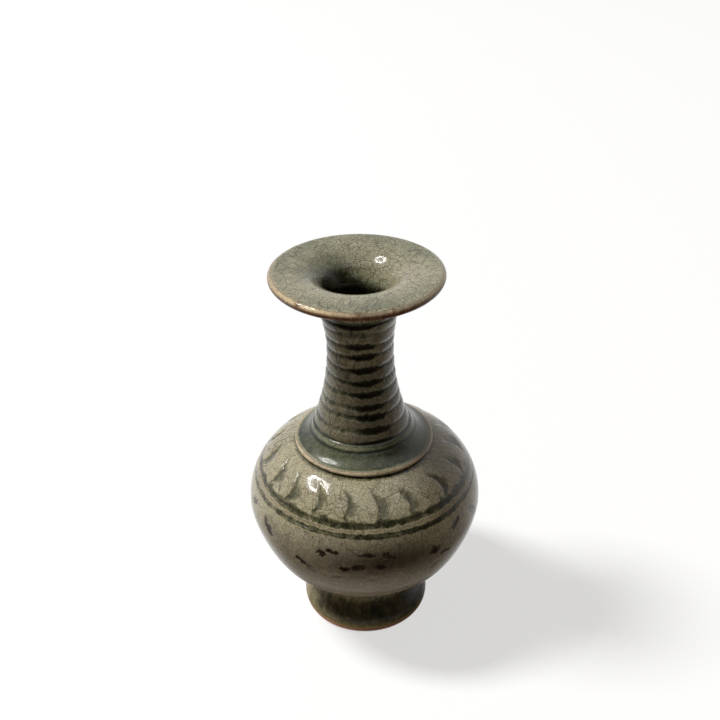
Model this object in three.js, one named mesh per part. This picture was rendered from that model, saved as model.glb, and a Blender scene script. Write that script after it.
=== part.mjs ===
// Ring-necked celadon bottle vase with a dish mouth, thrown in sections that are joined with slip.
// Millimetres, +Z up. The origin is the centre of the resting ring, and azimuth 0 faces -Y.
import * as THREE from "three";

// Foot ring: a splayed foot with an open recess
const FOOT_HEIGHT = 17;
const FOOT_WIDEST_RADIUS = 25.1;
const FOOT_WIDEST_HEIGHT = 4.5;
const FOOT_TOP_RADIUS = 20.6;
const RESTING_EDGE_RADIUS = 22.9;
const RESTING_EDGE_WIDTH = 3.4;
const FOOT_SEAT_WIDTH = 5;
const FOOT_BEVEL_WIDTH = 1.6;
const FOOT_BEVEL_HEIGHT = 2.4;
const FOOT_COVE_PULLS = { bottom: 0.45, top: 0.48 };

// Bowl: round lower body whose turned base dips into the foot
const BELLY_RISE = 37.5;
const GIRTH_RADIUS = 44.6;
const UNDERBELLY_RISE = 13.3;
const UNDERBELLY_RADIUS = 35;
const UNDERBELLY_SLOPE = THREE.MathUtils.degToRad(45);
const BELLY_START_SLOPE = THREE.MathUtils.degToRad(40.5);
const BELLY_PULLS = { underbelly: 0.248, girth: 0.27 };
const BOWL_OVERHANG = 0.6;
const BODY_WALL = 4;
const FLOOR_THICKNESS = 5;
const BASE_DIP = 2.6;
const BASE_CLEARANCE = 0.4;
const FLOOR_RADIUS = 11;

// Shoulder: a dome with two incised lines and a band of carved petals
const SHOULDER_RISE = 27.1;
const SHOULDER_REACH = 30.6;
const LOWER_LINE_RISE = 11.3;
const LINE_SPACING = 3.2;
const LINE_WIDTH = 1.4;
const LINE_DEPTH = 0.6;
const PETAL_COUNT = 18;
const PETAL_CUT_DEPTH = 0.8;
const PETAL_CUT_SPAN = 0.8;
const PETAL_HOOK_ANGLE = THREE.MathUtils.degToRad(5.2);
const PETAL_HOOK_START = 0.35;
const PETAL_MARGIN_BELOW = 0.5;
const PETAL_MARGIN_ABOVE = 1.1;
const SHOULDER_OPENING_RADIUS = 16;

// Collar: a flange whose thin lip overhangs the shoulder
const COLLAR_HEIGHT = 8.8;
const COLLAR_RADIUS = 26.1;
const COLLAR_LIP_THICKNESS = 1.3;
const COLLAR_OVERHANG = 0.7;
const COLLAR_UNDERCUT = 0.5;
const COLLAR_LIP_GAP = 0.35;
const COLLAR_COVE_FLARE = 0.4;
const COLLAR_COVE_PULLS = { lipReach: 0.55, lipRise: 0.08, neckReach: 0.2, neckDrop: 0.5 };

// Neck: waisted, with throwing rings of uneven height, listed from the collar up
const RING_HEIGHTS = [4.5, 5.2, 3.7, 4.7, 4.8, 5.1, 5.2, 4.3, 5.4, 3.8];
const RING_GROOVE_WIDTH = 1.8;
const RING_GROOVE_DEPTH = 0.6;
const NECK_BASE_RADIUS = 18.2;
const NECK_WAIST_RADIUS = 12.25;
const NECK_WAIST_RISE = 32;
const NECK_TOP_RADIUS = 14.3;
const NECK_LOWER_FLARE = 2.1;
const NECK_UPPER_FLARE = 1.65;
const NECK_WALL = 3.6;

// Mouth: a wide, nearly flat dish with a rounded rim
const MOUTH_HEIGHT = 14.9;
const MOUTH_RADIUS = 30.95;
const RIM_THICKNESS = 3.1;
const DISH_DROP = 2.1;
const THROAT_TURN_RADIUS = 16;
const DISH_SAG = 0.35;
const FLANGE_START_FLARE = 0.22;
const FLANGE_PULLS = { neckReach: 0.04, neckRise: 0.4, rimReach: 0.16, rimRise: 0.9 };
const THROAT_PULLS = { dishReach: 0.68, dishDrop: 0.08, boreReach: 0.04, boreRise: 0.63 };

// The hand-thrown neck and mouth stand a little off the axis of the foot
const NECK_DRIFT = 0.95;
const MOUTH_DRIFT = 0.8;

// Facets round each section and along its curves
const COLUMNS = { foot: 52, bowl: 60, collar: 52, neck: 48, mouth: 56 };
const QUARTER_STEPS = 3;
const COVE_STEPS = 5;
const BELLY_STEPS = 3;
const DOME_STEPS = { belowLine: 2, insideShoulder: 5 };
const LIP_STEPS = 4;
const BORE_STEPS = 6;
const PETAL_ROWS = 7;
const TOLERANCE = 1e-6;

// Heights of the seams between the sections
const footTop = FOOT_HEIGHT;
const girthHeight = footTop + BELLY_RISE;
const lowerLineHeight = girthHeight + LOWER_LINE_RISE;
const upperLineHeight = lowerLineHeight + LINE_SPACING;
const shoulderCentre = GIRTH_RADIUS - SHOULDER_REACH;
const shoulderEdgeRadius = COLLAR_RADIUS - COLLAR_OVERHANG;
const collarSeat = domeHeight(shoulderEdgeRadius, 0);
const neckBase = collarSeat + COLLAR_HEIGHT;
const neckHeight = RING_HEIGHTS.reduce((sum, height) => sum + height, 0);
const neckTop = neckBase + neckHeight;
const neckWaist = neckBase + NECK_WAIST_RISE;
const rimHeight = neckTop + MOUTH_HEIGHT;
const neckBoreAtBase = NECK_BASE_RADIUS - NECK_WALL;
const neckBoreAtTop = NECK_TOP_RADIUS - NECK_WALL;

function point(radius, height) {
  return new THREE.Vector2(radius, height);
}

function bezier(start, startPull, endPull, end, steps) {
  return new THREE.CubicBezierCurve(start, startPull, endPull, end).getPoints(steps);
}

function ellipseArc(centre, radiusX, radiusY, fromAngle, toAngle, steps) {
  const clockwise = toAngle < fromAngle;
  return new THREE.EllipseCurve(
    centre.x, centre.y, radiusX, radiusY, fromAngle, toAngle, clockwise,
  ).getPoints(steps);
}

// Radius and height of the elliptical dome above the girth, moved inward by inset
function domeRadius(height, inset) {
  const lift = (height - girthHeight) / (SHOULDER_RISE - inset);
  return shoulderCentre + (SHOULDER_REACH - inset) * Math.sqrt(1 - lift * lift);
}

function domeHeight(radius, inset) {
  const reach = (radius - shoulderCentre) / (SHOULDER_REACH - inset);
  return girthHeight + (SHOULDER_RISE - inset) * Math.sqrt(1 - reach * reach);
}

// Angle on the inset dome's ellipse of a point at this height
function domeAngle(height, inset) {
  return Math.asin((height - girthHeight) / (SHOULDER_RISE - inset));
}

function domeArc(fromHeight, toHeight, inset, steps) {
  return ellipseArc(
    point(shoulderCentre, girthHeight), SHOULDER_REACH - inset, SHOULDER_RISE - inset,
    domeAngle(fromHeight, inset), domeAngle(toHeight, inset), steps,
  );
}

// Outer radius of the neck between its rings' grooves
function neckRadius(height) {
  const below = height < neckWaist;
  const endHeight = below ? neckBase : neckTop;
  const endRadius = below ? NECK_BASE_RADIUS : NECK_TOP_RADIUS;
  const flare = below ? NECK_LOWER_FLARE : NECK_UPPER_FLARE;
  const share = (neckWaist - height) / (neckWaist - endHeight);
  return NECK_WAIST_RADIUS + (endRadius - NECK_WAIST_RADIUS) * Math.pow(share, flare);
}

// Sideways offset of the section's centre at this height, towards -X
function drift(height) {
  const inNeck = THREE.MathUtils.smoothstep(height, collarSeat, neckBase + RING_HEIGHTS[0]);
  const inMouth = THREE.MathUtils.smoothstep(height, neckWaist, rimHeight);
  return NECK_DRIFT * inNeck + MOUTH_DRIFT * inMouth;
}

function footOutline() {
  const widest = point(FOOT_WIDEST_RADIUS, FOOT_WIDEST_HEIGHT);
  const top = point(FOOT_TOP_RADIUS, footTop);
  const restingInner = RESTING_EDGE_RADIUS - RESTING_EDGE_WIDTH;
  const coveHeight = footTop - FOOT_WIDEST_HEIGHT;
  const toe = ellipseArc(
    point(RESTING_EDGE_RADIUS, FOOT_WIDEST_HEIGHT), FOOT_WIDEST_RADIUS - RESTING_EDGE_RADIUS,
    FOOT_WIDEST_HEIGHT, -Math.PI / 2, 0, QUARTER_STEPS,
  );
  const cove = bezier(
    widest, point(widest.x, widest.y + coveHeight * FOOT_COVE_PULLS.bottom),
    point(top.x, top.y - coveHeight * FOOT_COVE_PULLS.top), top, COVE_STEPS,
  );
  return [
    ...toe,
    ...cove.slice(1),
    point(FOOT_TOP_RADIUS - FOOT_SEAT_WIDTH, footTop),
    point(restingInner - FOOT_BEVEL_WIDTH, FOOT_BEVEL_HEIGHT),
    point(restingInner, 0),
    toe[0],
  ];
}

// Point at a distance from another along a slope
function along(origin, slope, distance) {
  return point(
    origin.x + Math.cos(slope) * distance, origin.y + Math.sin(slope) * distance,
  );
}

// Lower half of the body from the foot's top to the girth, moved inward by inset
function bellyOutline(start, inset) {
  const underbelly = point(
    UNDERBELLY_RADIUS - inset * Math.sin(UNDERBELLY_SLOPE),
    footTop + UNDERBELLY_RISE + inset * Math.cos(UNDERBELLY_SLOPE),
  );
  const girth = point(GIRTH_RADIUS - inset, girthHeight);
  const lowerPull = underbelly.distanceTo(start) / 3;
  const upperRise = girth.y - underbelly.y;
  const lower = bezier(
    start, along(start, BELLY_START_SLOPE, lowerPull),
    along(underbelly, UNDERBELLY_SLOPE, -lowerPull), underbelly, BELLY_STEPS,
  );
  const upper = bezier(
    underbelly, along(underbelly, UNDERBELLY_SLOPE, upperRise * BELLY_PULLS.underbelly),
    point(girth.x, girth.y - upperRise * BELLY_PULLS.girth), girth, BELLY_STEPS + 1,
  );
  return [...lower, ...upper.slice(1)];
}

function bowlOutline() {
  const floorHeight = footTop - BASE_DIP + FLOOR_THICKNESS;
  const recessRadius = FOOT_TOP_RADIUS - FOOT_SEAT_WIDTH - BASE_CLEARANCE;
  const base = ellipseArc(
    point(0, footTop), recessRadius, BASE_DIP, -Math.PI / 2, 0, QUARTER_STEPS,
  );
  const outer = bellyOutline(point(FOOT_TOP_RADIUS + BOWL_OVERHANG, footTop), 0);
  const inner = bellyOutline(point(FLOOR_RADIUS, floorHeight), BODY_WALL);
  const lineEdge = lowerLineHeight - LINE_WIDTH / 2;
  return [
    ...base,
    ...outer,
    ...domeArc(girthHeight, lineEdge, 0, DOME_STEPS.belowLine).slice(1),
    point(domeRadius(lowerLineHeight, 0) - LINE_DEPTH, lowerLineHeight),
    ...domeArc(lowerLineHeight, girthHeight, BODY_WALL, DOME_STEPS.belowLine),
    ...inner.reverse().slice(1),
    point(0, floorHeight),
  ];
}

// Rows of the shoulder's outer face that the petals are carved into
const petalBand = {
  bottom: upperLineHeight + LINE_WIDTH / 2 + PETAL_MARGIN_BELOW,
  top: collarSeat - PETAL_MARGIN_ABOVE,
};

function shoulderOutline() {
  const halfLine = LINE_WIDTH / 2;
  const opening = SHOULDER_OPENING_RADIUS;
  const crown = domeHeight(opening, BODY_WALL);
  const seam = point(domeRadius(lowerLineHeight, 0) - LINE_DEPTH, lowerLineHeight);
  const carved = [];
  for (let row = 0; row <= PETAL_ROWS; row += 1) {
    const height = THREE.MathUtils.lerp(petalBand.bottom, petalBand.top, row / PETAL_ROWS);
    carved.push(point(domeRadius(height, 0), height));
  }
  return [
    seam,
    point(domeRadius(lowerLineHeight + halfLine, 0), lowerLineHeight + halfLine),
    point(domeRadius(upperLineHeight - halfLine, 0), upperLineHeight - halfLine),
    point(domeRadius(upperLineHeight, 0) - LINE_DEPTH, upperLineHeight),
    point(domeRadius(upperLineHeight + halfLine, 0), upperLineHeight + halfLine),
    ...carved,
    point(shoulderEdgeRadius, collarSeat),
    point(opening, collarSeat),
    ...domeArc(crown, lowerLineHeight, BODY_WALL, DOME_STEPS.insideShoulder),
    seam,
  ];
}

// Columns of one petal: place across it, and share of the cut's full depth. Each cut starts at
// the edge of one petal and slopes up onto the next.
const PETAL_COLUMNS = [
  { across: 0, cut: 1 },
  { across: 0.13, cut: 0.6 },
  { across: 0.3, cut: 0 },
  { across: 0.64, cut: 0 },
  { across: 0.97, cut: 0 },
];

function carvePetal(vertex) {
  const radius = Math.hypot(vertex.x, vertex.y);
  const rise = (vertex.z - petalBand.bottom) / (petalBand.top - petalBand.bottom);
  const onOuterFace = radius > domeRadius(vertex.z, BODY_WALL / 2);
  if (!onOuterFace || rise < -TOLERANCE || rise > 1 + TOLERANCE) {
    return;
  }
  const columnsInAll = PETAL_COUNT * PETAL_COLUMNS.length;
  const azimuth = Math.atan2(vertex.x, -vertex.y);
  const step = Math.round((azimuth / (2 * Math.PI)) * columnsInAll) + columnsInAll;
  const column = PETAL_COLUMNS[step % PETAL_COLUMNS.length];
  const petal = Math.floor(step / PETAL_COLUMNS.length);
  const hook = (rise - PETAL_HOOK_START) / (1 - PETAL_HOOK_START);
  const bend = PETAL_HOOK_ANGLE * hook * hook;
  const depth = PETAL_CUT_DEPTH * column.cut * Math.sin(Math.PI * PETAL_CUT_SPAN * (1 - rise));
  const carvedAzimuth = ((petal + column.across) / PETAL_COUNT) * 2 * Math.PI - bend;
  const carvedRadius = radius - depth;
  vertex.x = carvedRadius * Math.sin(carvedAzimuth);
  vertex.y = -carvedRadius * Math.cos(carvedAzimuth);
}

function collarOutline() {
  const lipRadius = COLLAR_LIP_THICKNESS / 2;
  const lipCentre = point(
    COLLAR_RADIUS - lipRadius, collarSeat + COLLAR_LIP_GAP + lipRadius,
  );
  const seatEdge = shoulderEdgeRadius - COLLAR_UNDERCUT;
  const lip = ellipseArc(
    lipCentre, lipRadius, lipRadius, -Math.PI / 2, Math.PI / 2, LIP_STEPS,
  );
  const lipTop = lip[lip.length - 1];
  const coveTop = point(
    NECK_BASE_RADIUS + COLLAR_COVE_FLARE, neckBase - RING_GROOVE_WIDTH / 2,
  );
  const coveWidth = lipTop.x - coveTop.x;
  const coveRise = coveTop.y - lipTop.y;
  const pulls = COLLAR_COVE_PULLS;
  const cove = bezier(
    lipTop, point(lipTop.x - coveWidth * pulls.lipReach, lipTop.y + coveRise * pulls.lipRise),
    point(coveTop.x + coveWidth * pulls.neckReach, coveTop.y - coveRise * pulls.neckDrop),
    coveTop, COVE_STEPS,
  );
  return [
    point(SHOULDER_OPENING_RADIUS, collarSeat),
    point(seatEdge, collarSeat),
    ...lip,
    ...cove.slice(1),
    point(NECK_BASE_RADIUS - RING_GROOVE_DEPTH, neckBase),
    point(neckBoreAtBase, neckBase),
    point(SHOULDER_OPENING_RADIUS, collarSeat),
  ];
}

function neckOutline() {
  const halfGroove = RING_GROOVE_WIDTH / 2;
  const outer = [];
  let bottom = neckBase;
  for (const ringHeight of RING_HEIGHTS) {
    const top = bottom + ringHeight;
    outer.push(point(neckRadius(bottom) - RING_GROOVE_DEPTH, bottom));
    outer.push(point(neckRadius(bottom + halfGroove), bottom + halfGroove));
    outer.push(point(neckRadius(top - halfGroove), top - halfGroove));
    bottom = top;
  }
  const bore = [];
  for (let step = 0; step <= BORE_STEPS; step += 1) {
    const height = THREE.MathUtils.lerp(neckTop, neckBase, step / BORE_STEPS);
    bore.push(point(neckRadius(height) - NECK_WALL, height));
  }
  return [
    ...outer,
    point(NECK_TOP_RADIUS - RING_GROOVE_DEPTH, neckTop),
    ...bore,
    outer[0],
  ];
}

function mouthOutline() {
  const rimRadius = RIM_THICKNESS / 2;
  const rimCentre = point(MOUTH_RADIUS - rimRadius, rimHeight - rimRadius);
  const rim = ellipseArc(
    rimCentre, rimRadius, rimRadius, -Math.PI / 2, Math.PI / 2, LIP_STEPS,
  );
  const neckEnd = point(
    NECK_TOP_RADIUS + FLANGE_START_FLARE, neckTop + RING_GROOVE_WIDTH / 2,
  );
  const under = FLANGE_PULLS;
  const flangeWidth = rim[0].x - neckEnd.x;
  const flangeRise = rim[0].y - neckEnd.y;
  const flange = bezier(
    neckEnd,
    point(neckEnd.x + flangeWidth * under.neckReach, neckEnd.y + flangeRise * under.neckRise),
    point(neckEnd.x + flangeWidth * under.rimReach, neckEnd.y + flangeRise * under.rimRise),
    rim[0], COVE_STEPS,
  );
  const rimTop = rim[rim.length - 1];
  const turn = point(THROAT_TURN_RADIUS, rimHeight - DISH_DROP);
  const dishMiddle = rimTop.clone().lerp(turn, 0.5);
  dishMiddle.y -= DISH_SAG;
  const bore = point(neckBoreAtTop, neckTop);
  const inside = THROAT_PULLS;
  const throatWidth = turn.x - bore.x;
  const throatDepth = turn.y - bore.y;
  const throat = bezier(
    turn, point(turn.x - throatWidth * inside.dishReach, turn.y - throatDepth * inside.dishDrop),
    point(bore.x + throatWidth * inside.boreReach, bore.y + throatDepth * inside.boreRise),
    bore, COVE_STEPS,
  );
  const seam = point(NECK_TOP_RADIUS - RING_GROOVE_DEPTH, neckTop);
  return [seam, ...flange, ...rim.slice(1), dishMiddle, ...throat, seam];
}

// Turns an outline round the vertical axis, with its first column at azimuth 0
function revolve(outline, columns) {
  const geometry = new THREE.LatheGeometry(outline, columns);
  geometry.rotateX(Math.PI / 2);
  return geometry;
}

function reshape(geometry, move) {
  const position = geometry.attributes.position;
  const vertex = new THREE.Vector3();
  for (let index = 0; index < position.count; index += 1) {
    vertex.fromBufferAttribute(position, index);
    move(vertex);
    position.setXYZ(index, vertex.x, vertex.y, vertex.z);
  }
  geometry.computeVertexNormals();
  return geometry;
}

function followDrift(vertex) {
  vertex.x -= drift(vertex.z);
}

function section(name, geometry, colour, roughness) {
  const material = new THREE.MeshStandardMaterial({ color: colour, roughness, metalness: 0 });
  const mesh = new THREE.Mesh(geometry, material);
  mesh.name = name;
  return mesh;
}

const shoulderColumns = PETAL_COUNT * PETAL_COLUMNS.length;
const vase = new THREE.Group();
vase.add(
  section("foot_ring", revolve(footOutline(), COLUMNS.foot), "#2e2d24", 0.3),
  section("bowl", revolve(bowlOutline(), COLUMNS.bowl), "#5b5248", 0.25),
  section(
    "shoulder", reshape(revolve(shoulderOutline(), shoulderColumns), carvePetal), "#78725f", 0.25,
  ),
  section(
    "collar", reshape(revolve(collarOutline(), COLUMNS.collar), followDrift), "#4a4e42", 0.2,
  ),
  section("neck", reshape(revolve(neckOutline(), COLUMNS.neck), followDrift), "#57534a", 0.25),
  section("mouth", reshape(revolve(mouthOutline(), COLUMNS.mouth), followDrift), "#7d7d6c", 0.2),
);

export default vase;
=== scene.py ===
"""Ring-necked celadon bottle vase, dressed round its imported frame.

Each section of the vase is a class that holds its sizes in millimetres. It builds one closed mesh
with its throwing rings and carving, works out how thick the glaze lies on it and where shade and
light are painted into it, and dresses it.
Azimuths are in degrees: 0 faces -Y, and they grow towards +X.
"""
import logging
import math
from dataclasses import dataclass
from enum import Enum

import bpy
import numpy as np
from mathutils import Matrix, Vector


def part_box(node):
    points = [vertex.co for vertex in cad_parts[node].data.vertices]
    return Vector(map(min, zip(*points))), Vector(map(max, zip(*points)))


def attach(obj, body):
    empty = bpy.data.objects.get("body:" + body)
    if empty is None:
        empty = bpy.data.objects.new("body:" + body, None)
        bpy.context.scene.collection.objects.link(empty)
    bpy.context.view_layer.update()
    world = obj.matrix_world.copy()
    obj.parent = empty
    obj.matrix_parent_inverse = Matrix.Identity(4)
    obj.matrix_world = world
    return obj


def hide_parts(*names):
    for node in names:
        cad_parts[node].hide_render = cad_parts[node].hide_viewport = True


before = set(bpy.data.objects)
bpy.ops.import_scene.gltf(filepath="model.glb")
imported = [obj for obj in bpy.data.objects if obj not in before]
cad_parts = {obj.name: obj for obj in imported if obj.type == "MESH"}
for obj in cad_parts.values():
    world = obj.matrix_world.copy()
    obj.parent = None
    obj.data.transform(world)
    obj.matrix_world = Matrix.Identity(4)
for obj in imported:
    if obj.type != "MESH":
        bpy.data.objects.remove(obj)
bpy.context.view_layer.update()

MM = 0.001
FULL_TURN = 2 * math.pi
RIPPLE_RADIUS = 40.0
RIPPLE_WAVES = 14
CURVE_POINTS = 200
ARC_POINTS = 120
NORMAL_REACH = 0.002
ON_AXIS = 1e-6
SHARP_ANGLE = 62.0
SEAM_SPACING = 4.0
log = logging.getLogger("vase")


class Slot(Enum):
    """Names of the material slots that the sections log with their face counts."""

    CELADON = "celadon_glaze"
    FOOT = "dark_foot_glaze"


class Face(Enum):
    """Which side of a section a stretch of its outline lies on."""

    OUTER = "outer"
    INNER = "inner"
    SEAM = "seam"
    BARE = "bare"


class Push(Enum):
    """Direction in which relief moves the surface of a section."""

    NORMAL = "normal"
    RADIAL = "radial"


def top_of(node: str) -> float:
    """Height of a node's highest point, in millimetres."""
    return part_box(node)[1].z / MM


def bottom_of(node: str) -> float:
    """Height of a node's lowest point, in millimetres."""
    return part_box(node)[0].z / MM


def smoothstep(value: np.ndarray, start: float, end: float) -> np.ndarray:
    """Smooth rise from 0 at start to 1 at end."""
    share = np.clip((value - start) / (end - start), 0.0, 1.0)
    return share * share * (3.0 - 2.0 * share)


def falling(value: np.ndarray, start: float, end: float) -> np.ndarray:
    """Smooth fall from 1 at start to 0 at end."""
    return 1.0 - smoothstep(value, start, end)


def towards(value: np.ndarray, target: float, share: np.ndarray) -> np.ndarray:
    """Moves a value towards a target by a share of the way."""
    return value + (target - value) * share


def bell(distance: np.ndarray, width: float) -> np.ndarray:
    """Bell curve of a distance, 1 at its middle, with the given half width."""
    return np.exp(-np.square(distance / width))


def azimuth_gap(azimuth: np.ndarray, place: float) -> np.ndarray:
    """Signed difference between azimuths in degrees, the short way round."""
    return (azimuth - place + 180.0) % 360.0 - 180.0


def ripple(height: np.ndarray, azimuth: np.ndarray, size: float, seed: int) -> np.ndarray:
    """Gentle unevenness of hand work, without a break round the vase.

    Args:
        height: heights of the rows, in millimetres.
        azimuth: azimuths of the columns, in degrees.
        size: usual distance between two swells on the body, in millimetres.
        seed: picks one pattern.

    Returns:
        A grid of values that mostly lie between -1 and 1.
    """
    rng = np.random.default_rng(seed)
    turn = np.radians(azimuth)
    total = np.zeros(np.broadcast(height, azimuth).shape)
    for _ in range(RIPPLE_WAVES):
        pitch = FULL_TURN / (size * rng.uniform(0.6, 1.7))
        angle = rng.uniform(0.0, math.pi)
        around = round(pitch * math.cos(angle) * RIPPLE_RADIUS)
        phase = rng.uniform(0.0, FULL_TURN)
        total += np.sin(around * turn + pitch * math.sin(angle) * height + phase)
    return total / math.sqrt(RIPPLE_WAVES)


def bezier(start: tuple, start_pull: tuple, end_pull: tuple, end: tuple) -> np.ndarray:
    """Cubic curve between two points.

    Args:
        start: radius and height of the first point.
        start_pull: handle of the first point.
        end_pull: handle of the last point.
        end: radius and height of the last point.

    Returns:
        Closely spaced points along the curve, one row each.
    """
    share = np.linspace(0.0, 1.0, CURVE_POINTS)[:, None]
    rest = 1.0 - share
    curve = rest**3 * np.array(start) + 3 * rest**2 * share * np.array(start_pull)
    return curve + 3 * rest * share**2 * np.array(end_pull) + share**3 * np.array(end)


def arc(centre: tuple, radii: tuple, first: float, last: float) -> np.ndarray:
    """Part of an ellipse.

    Args:
        centre: radius and height of the centre.
        radii: half width and half height.
        first: angle of the first point, in degrees from the outward direction.
        last: angle of the last point, in degrees.

    Returns:
        Closely spaced points along the arc, one row each.
    """
    angle = np.radians(np.linspace(first, last, ARC_POINTS))
    return np.stack(
        [centre[0] + radii[0] * np.cos(angle), centre[1] + radii[1] * np.sin(angle)], axis=1
    )


def line(*corners: tuple) -> np.ndarray:
    """Straight runs between the given corners, one row each."""
    return np.array(corners, dtype=float)


def run_along(points: np.ndarray) -> np.ndarray:
    """Distance of each point from the first, along the points."""
    steps = np.linalg.norm(np.diff(points, axis=0), axis=1)
    return np.concatenate([[0.0], np.cumsum(steps)])


@dataclass(frozen=True)
class Stretch:
    """One run of a section's outline from corner to corner."""

    points: np.ndarray
    spacing: float
    face: Face

    def sampled(self) -> tuple[np.ndarray, np.ndarray]:
        """Evenly spaced points and the outward normals at them.

        Returns:
            Points and normals, one row each.
        """
        along = run_along(self.points)
        count = max(1, round(along[-1] / self.spacing))
        wanted = np.linspace(0.0, along[-1], count + 1)
        reach = along[-1] * NORMAL_REACH
        points, ahead, behind = (
            np.stack([np.interp(wanted + step, along, axis) for axis in self.points.T], axis=1)
            for step in (0.0, reach, -reach)
        )
        tangent = ahead - behind
        tangent /= np.linalg.norm(tangent, axis=1)[:, None]
        return points, np.stack([tangent[:, 1], -tangent[:, 0]], axis=1)


def seam_between(start: tuple, end: tuple, spacing: float = SEAM_SPACING) -> Stretch:
    """Flat face where a section meets the next one."""
    return Stretch(line(start, end), spacing, Face.SEAM)


@dataclass
class Rows:
    """The sampled outline of a section, one entry for each row of its mesh."""

    points: np.ndarray
    normals: np.ndarray
    faces: list
    along: np.ndarray
    closed: bool

    @classmethod
    def of(cls, stretches: list) -> "Rows":
        """Joins stretches into one outline.

        Args:
            stretches: runs in order, each starting where the last one ends.

        Returns:
            The rows, without a double where two stretches meet.
        """
        points, normals, faces = [], [], []
        carried = None
        for stretch in stretches:
            spots, outward = stretch.sampled()
            labels = [stretch.face] * len(spots)
            if carried is not None and carried[1] is Face.OUTER:
                outward[0], labels[0] = carried
            carried = (outward[-1], stretch.face)
            points.append(spots[:-1])
            normals.append(outward[:-1])
            faces.extend(labels[:-1])
        last = stretches[-1].points[-1]
        closed = bool(np.allclose(last, stretches[0].points[0]))
        if not closed:
            points.append(last[None, :])
            normals.append(carried[0][None, :])
            faces.append(stretches[-1].face)
        spots = np.concatenate(points)
        return cls(spots, np.concatenate(normals), faces, run_along(spots), closed)

    def on(self, wanted: Face) -> np.ndarray:
        """Mask of the rows that lie on the wanted face, as a column."""
        return np.array([face is wanted for face in self.faces])[:, None]


@dataclass(frozen=True)
class Throwing:
    """How far the hand-thrown vase leans and wavers."""

    neck_drift: float = 0.95
    mouth_drift: float = 0.8
    first_ring: float = 4.5
    waist_rise: float = 32.0
    waver: float = 0.16

    def drift(self, height: np.ndarray) -> np.ndarray:
        """Offset of the section's centre towards -X at a height."""
        neck_base = bottom_of("neck")
        in_neck = smoothstep(height, bottom_of("collar"), neck_base + self.first_ring)
        in_mouth = smoothstep(height, neck_base + self.waist_rise, top_of("mouth"))
        return self.neck_drift * in_neck + self.mouth_drift * in_mouth

    def wavering(self, height: np.ndarray, turn: np.ndarray) -> np.ndarray:
        """Inward waver of the wall at a height and azimuth in radians."""
        slow = np.sin(2 * turn + height * 0.045) + 0.6 * np.sin(3 * turn - height * 0.07 + 1.3)
        return -self.waver * (0.5 + slow / 3.2)


THROWING = Throwing()


class Graph:
    """Adds and links the nodes of one node tree."""

    def __init__(self, tree: bpy.types.NodeTree) -> None:
        """Keeps the tree that the nodes go into."""
        self.tree = tree

    def node(self, kind: str, given: dict | None = None, **settings: object) -> bpy.types.Node:
        """Adds a node.

        Args:
            kind: class name of the node.
            given: sockets or values, by the name or number of the input that they feed.
            settings: attributes to set on it.

        Returns:
            The new node.
        """
        made = self.tree.nodes.new(kind)
        for name, value in settings.items():
            setattr(made, name, value)
        for place, value in (given or {}).items():
            self.feed(made.inputs[place], value)
        return made

    def feed(self, socket: bpy.types.NodeSocket, value: object) -> None:
        """Links a socket to another one, or sets its value."""
        if isinstance(value, bpy.types.NodeSocket):
            self.tree.links.new(value, socket)
        else:
            socket.default_value = value

    def math(self, operation: str, *values: object, clamp: bool = False) -> bpy.types.NodeSocket:
        """Adds a math node on sockets or numbers.

        Args:
            operation: Blender's name of the operation.
            values: sockets or numbers.
            clamp: whether the result stays between 0 and 1.

        Returns:
            The result's socket.
        """
        given = dict(enumerate(values))
        return self.node("ShaderNodeMath", given, operation=operation, use_clamp=clamp).outputs[0]

    def times(self, value: object, *others: object) -> bpy.types.NodeSocket:
        """Product of sockets or numbers, taken in order."""
        for other in others:
            value = self.math("MULTIPLY", value, other)
        return value

    def centred(self, value: object, amount: float) -> bpy.types.NodeSocket:
        """Scales a value from 0 to 1 so that it swings evenly about 0."""
        return self.math("MULTIPLY_ADD", value, amount, -amount / 2)

    def vector(self, operation: str, *values: object) -> bpy.types.NodeSocket:
        """Adds a vector math node on sockets or vectors."""
        given = dict(enumerate(values))
        return self.node("ShaderNodeVectorMath", given, operation=operation).outputs[0]

    def layer(self, name: str) -> bpy.types.NodeSocket:
        """Reads a value that the mesh keeps on its vertices."""
        return self.node("ShaderNodeAttribute", attribute_name=name).outputs["Fac"]

    def ease(self, value: object, start: object, end: object) -> bpy.types.NodeSocket:
        """Smooth rise from 0 at start to 1 at end."""
        given = {"Value": value, "From Min": start, "From Max": end}
        made = self.node("ShaderNodeMapRange", given, interpolation_type="SMOOTHSTEP")
        return made.outputs["Result"]

    def mix(self, share: object, first: object, second: object, how: str = "MIX") -> object:
        """Mixes two colours.

        Args:
            share: how much of the second shows.
            first: colour or socket.
            second: colour or socket.
            how: Blender's blend type.

        Returns:
            The mixed colour's socket.
        """
        given = {0: share, 6: first, 7: second}
        made = self.node("ShaderNodeMix", given, data_type="RGBA", blend_type=how,
                         clamp_factor=True)
        return made.outputs[2]

    def noise(
        self, at: object, scale: object, detail: float, roughness: float = 0.5, output: str = "Fac"
    ) -> bpy.types.NodeSocket:
        """Adds a noise texture and returns one of its outputs."""
        given = {"Vector": at, "Scale": scale, "Detail": detail, "Roughness": roughness}
        return self.node("ShaderNodeTexNoise", given).outputs[output]

    def voronoi(self, at: object, scale: object, feature: str) -> bpy.types.Node:
        """Adds a three-dimensional Voronoi texture and returns its node."""
        return self.node("ShaderNodeTexVoronoi", {"Vector": at, "Scale": scale}, feature=feature)


def new_material(name: str) -> tuple[bpy.types.Material, Graph]:
    """Makes an empty material and a graph on it."""
    material = bpy.data.materials.new(name)
    material.use_nodes = True
    material.node_tree.nodes.clear()
    return material, Graph(material.node_tree)


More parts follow.
